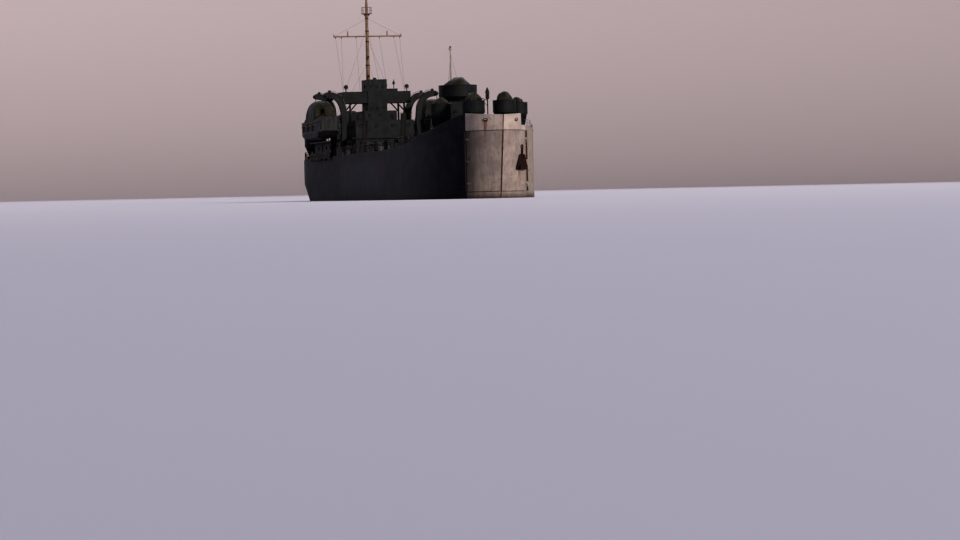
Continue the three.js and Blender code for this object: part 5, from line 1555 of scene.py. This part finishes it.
def anchor_cable(chain, boxes):
    """The bow cable from the windlass to its hawse pipe, and the stern wire over its roller."""
    cable = [
        (10.8, 0.12, deck_at(11.2) + 0.75), (9.6, 0.2, deck_at(9.6) + 0.1), (5.4, 0.5, DECK_FORWARD + 0.09),
        (3.4, 1.2, DECK_FORWARD + 0.07),
    ]
    link_chain(chain, cable)
    hawse = [(0.0, 9.6), (0.42, 9.6), (0.42, 9.68), (0.3, 9.74), (0.24, 9.64), (0.0, 9.64)]
    boxes.turned(3.3, 1.25, hawse, 20)
    wire = [(95.9, 8.95), (97.5, 8.5), (99.3, 8.1), (99.95, 7.95), (100.12, 7.8), (100.1, 7.75)]
    chain.tube([(s, 0, z) for s, z in wire], 0.05, sides=8)
    cheek = [(99.1, 7.67), (100.05, 7.67), (100.2, 8.05), (99.6, 8.3), (99.1, 7.9)]
    for side in (-1, 1):
        boxes.plate([(s, side * 0.35, z) for s, z in cheek], (0, side * 0.06, 0))
    boxes.tube([(99.9, -0.36, 7.98), (99.9, 0.36, 7.98)], 0.13, sides=14)


def rope_reel(reels, boxes, s, b):
    """A drum of rope between two flanges, on plate feet."""
    deck = deck_at(s)
    axle = deck + 0.62
    reels.tube([(s, b - 0.6, axle), (s, b + 0.6, axle)], 0.3, sides=18)
    for end in (-0.62, 0.62):
        reels.tube([(s, b + end - 0.03, axle), (s, b + end + 0.03, axle)], 0.52, sides=20)
        foot = b + end * 1.15
        boxes.plate([(s - 0.35, foot, deck), (s + 0.35, foot, deck), (s, foot, deck + 0.75)], (0, 0.05, 0))


def access_hatch(boxes, reels, s, b):
    """A square coaming with its lid, and the lid's handwheel."""
    deck = deck_at(s)
    boxes.slab((s - 0.45, b - 0.45, deck - 0.05), (s + 0.45, b + 0.45, deck + 0.42))
    boxes.slab((s - 0.5, b - 0.5, deck + 0.42), (s + 0.5, b + 0.5, deck + 0.5), taper=0.05)
    reels.tube(ring(s, b, deck + 0.62, 0.2, 16), 0.025, sides=5, closed=True)
    reels.tube([(s, b, deck + 0.5), (s, b, deck + 0.62)], 0.03, sides=6)


def deck_gear():
    """Chain, reels, hatches, lashing points, floats and hose boxes about the decks."""
    chain, reels, boxes, floats, wood = Maker(), Maker(), Maker(), Maker(), Maker()
    anchor_cable(chain, boxes)
    for s, b in REELS:
        rope_reel(reels, boxes, s, b)
    for s, b in ACCESS_HATCHES:
        access_hatch(boxes, reels, s, b)
    for s in np.arange(20, 62, 2.6):
        for b in (-5.2, -3.9, 3.9, 5.2):
            lashing_point(boxes, s, b, deck_at(s))
    for s in np.arange(29, 37, 2.6):
        for b in (-2.6, -1.3, 0, 1.3, 2.6):
            lashing_point(boxes, s, b, deck_at(s))
    for s, b, count in FLOAT_STACKS:
        base = UPPER_FLOOR if s > 80 else deck_at(s)
        for k in range(count):
            life_float(floats, wood, s, b, base + 0.3 + k * 0.5)
    for s in (40.5, 43.5):
        for side in (-1, 1):
            boxes.slab((s, side * 5.3 - 0.3, DECK), (s + 1.2, side * 5.3 + 0.3, DECK + 0.75), taper=0.03)
    chain.build("cables_and_stern_wire", IRON)
    reels.build("rope_reels", ROPE)
    boxes.build("deck_boxes_and_sockets", DECK_GREY)
    floats.build("life_floats", CANVAS)
    wood.build("life_float_slats", WOOD)


def lashing_point(maker, s, b, z):
    """A low socket with four lobes, where vehicles are chained down."""
    outline = []
    for t in round_turns(16):
        r = 0.15 + 0.04 * math.cos(4 * t)
        outline.append((s + r * math.cos(t), b + r * math.sin(t), z - 0.02))
    maker.plate(outline, (0, 0, 0.05))


def life_float(floats, wood, s, b, z, long=1.15, wide=0.7, tube=0.21):
    """An oval float of a canvas-covered tube, with a slatted floor hung in it."""
    path = []
    for t in round_turns(28):
        u, v = (math.copysign(abs(c) ** 0.75, c) for c in (math.cos(t), math.sin(t)))
        path.append((s + long * u, b + wide * v, z))
    floats.tube(path, tube, sides=10, closed=True)
    for k in range(-4, 5):
        at = s + k * 0.22
        wood.slab((at - 0.05, b - wide + 0.1, z - 0.16), (at + 0.05, b + wide - 0.1, z - 0.12))


# The photograph's view: 960 by 540 pixels, long lens, from 14 degrees off the starboard bow
PHOTO = (960, 540)
FOCAL_PX = 5740
SENSOR_MM = 36
VIEW_BEARING = math.radians(14)
VIEW_DISTANCE = 700
VIEW_HEIGHT = 1.23
VIEW_ROLL = math.radians(1.2)
STEM_PIXEL = (501.5, 198)


def water_axes():
    """The trimmed waterline: a point on it at the stem, the way forward along it, and its normal."""
    fore, aft = (place(s, 0, z) for s, z in (WATER_FORE, WATER_AFT))
    ahead = (fore - aft).normalized()
    return fore, ahead, ahead.cross(Vector((0, 1, 0))).normalized()


def set_camera():
    stem, ahead, up = water_axes()
    bearing = ahead * math.cos(VIEW_BEARING) - Vector((0, 1, 0)) * math.sin(VIEW_BEARING)
    eye = stem + bearing * VIEW_DISTANCE * M + up * VIEW_HEIGHT * M
    dx, dy = STEM_PIXEL[0] - PHOTO[0] / 2, STEM_PIXEL[1] - PHOTO[1] / 2
    cos, sin = math.cos(VIEW_ROLL), math.sin(VIEW_ROLL)
    yaw = (dx * cos - dy * sin) / FOCAL_PX
    pitch = -(dx * sin + dy * cos) / FOCAL_PX + VIEW_HEIGHT / VIEW_DISTANCE
    level = -bearing
    forward = (level - level.cross(up) * yaw - up * pitch).normalized()
    right = forward.cross(up).normalized()
    top = right.cross(forward)
    rolled_top = top * cos + right * sin
    rolled_right = forward.cross(rolled_top)
    turn = Matrix((rolled_right, rolled_top, -forward)).transposed()
    camera = bpy.data.objects.new("camera", bpy.data.cameras.new("camera"))
    camera.matrix_world = Matrix.Translation(eye) @ turn.to_4x4()
    camera.data.sensor_width = SENSOR_MM
    camera.data.lens = FOCAL_PX * SENSOR_MM / PHOTO[0]
    camera.data.clip_end = 2000
    bpy.context.scene.collection.objects.link(camera)
    bpy.context.scene.camera = camera


# In metres of the model, far outside every view
FLOOR_RADIUS, SWEEP_RADIUS, SWEEP_TOP = 150, 30, 38


def lay_floor():
    """A plain pale floor at the waterline that the ship trims to, swept up into a wall all round."""
    stem, ahead, up = water_axes()
    centre = stem - ahead * LENGTH / 2 * M
    across = up.cross(ahead)
    profile = [(0.0, 0.0), (10.0, 0.0), (40.0, 0.0), (FLOOR_RADIUS, 0.0)]
    for k in range(1, 17):
        turn = math.pi / 2 * k / 16
        profile.append((FLOOR_RADIUS + SWEEP_RADIUS * math.sin(turn), SWEEP_RADIUS * (1 - math.cos(turn))))
    profile.append((FLOOR_RADIUS + SWEEP_RADIUS, SWEEP_TOP))
    sides = 128
    points = [p for r, z in profile for p in oval(centre + up * z, ahead * r, across * r, sides)]
    faces = []
    for row in range(len(profile) - 1):
        for k in range(sides):
            a, b = row * sides + k, row * sides + (k + 1) % sides
            faces.append((a, b, b + sides, a + sides))
    mesh = bpy.data.meshes.new("floor")
    mesh.from_pydata(points, [], faces)
    tidy_mesh(mesh)
    mesh.shade_smooth()
    floor = bpy.data.objects.new("floor", mesh)
    bpy.context.scene.collection.objects.link(floor)
    # Seamless paper, matt and quite plain
    material, _, shader, _ = new_material("studio_floor")
    feed(shader, {"Base Color": linear("#bcb7be"), "Roughness": 0.8})
    mesh.materials.append(material)


# Each distant light's name, bearing from the bow towards port and height in degrees, strength, width in
# degrees, and colour
SUNS = (
    ("key", 27, 14, 4.4, 9, "#fff0e6"),
    ("port_fill", 142, 36, 2.5, 40, "#eef0ff"),
    ("stern_fill", -162, 26, 1.3, 40, "#eef0ff"),
)
# The photograph is hard and dark: little light from all round, and less exposure
SKY_COLOUR, SKY_STRENGTH = "#cfccd2", 0.2
EXPOSURE = -0.65


def sun(name, bearing, height, strength, width, colour):
    light = bpy.data.lights.new(name, "SUN")
    light.energy, light.angle, light.color = strength, math.radians(width), linear(colour)[:3]
    lamp = bpy.data.objects.new(name, light)
    around, up = math.radians(bearing), math.radians(height)
    flat = math.cos(up)
    source = Vector((math.cos(around) * flat, math.sin(around) * flat, math.sin(up)))
    lamp.rotation_euler = source.to_track_quat("Z", "Y").to_euler()
    bpy.context.scene.collection.objects.link(lamp)


def light_studio():
    view = bpy.context.scene.view_settings
    view.view_transform = "Standard"
    view.look = "High Contrast"
    view.exposure = EXPOSURE
    for light in SUNS:
        sun(*light)
    world = bpy.data.worlds.new("studio")
    world.use_nodes = True
    background = world.node_tree.nodes["Background"]
    feed(background, {"Color": linear(SKY_COLOUR), "Strength": SKY_STRENGTH})
    bpy.context.scene.world = world


def main():
    set_camera()
    finish_nodes()
    shell_plating()
    bow_plating()
    bulwarks()
    stem_and_edges()
    bow_fairleads()
    platforms()
    centre_house()
    canvas_covers()
    boat_canvases()
    deck_rails()
    roof_rails()
    house_fronts()
    rolled_nets()
    davit_fittings()
    boat_fittings()
    mast_rigging()
    bridge_gear()
    lamp_post()
    deck_gear()
    door_framing()
    tank_deck_fittings()
    screws()
    lay_floor()
    light_studio()


main()
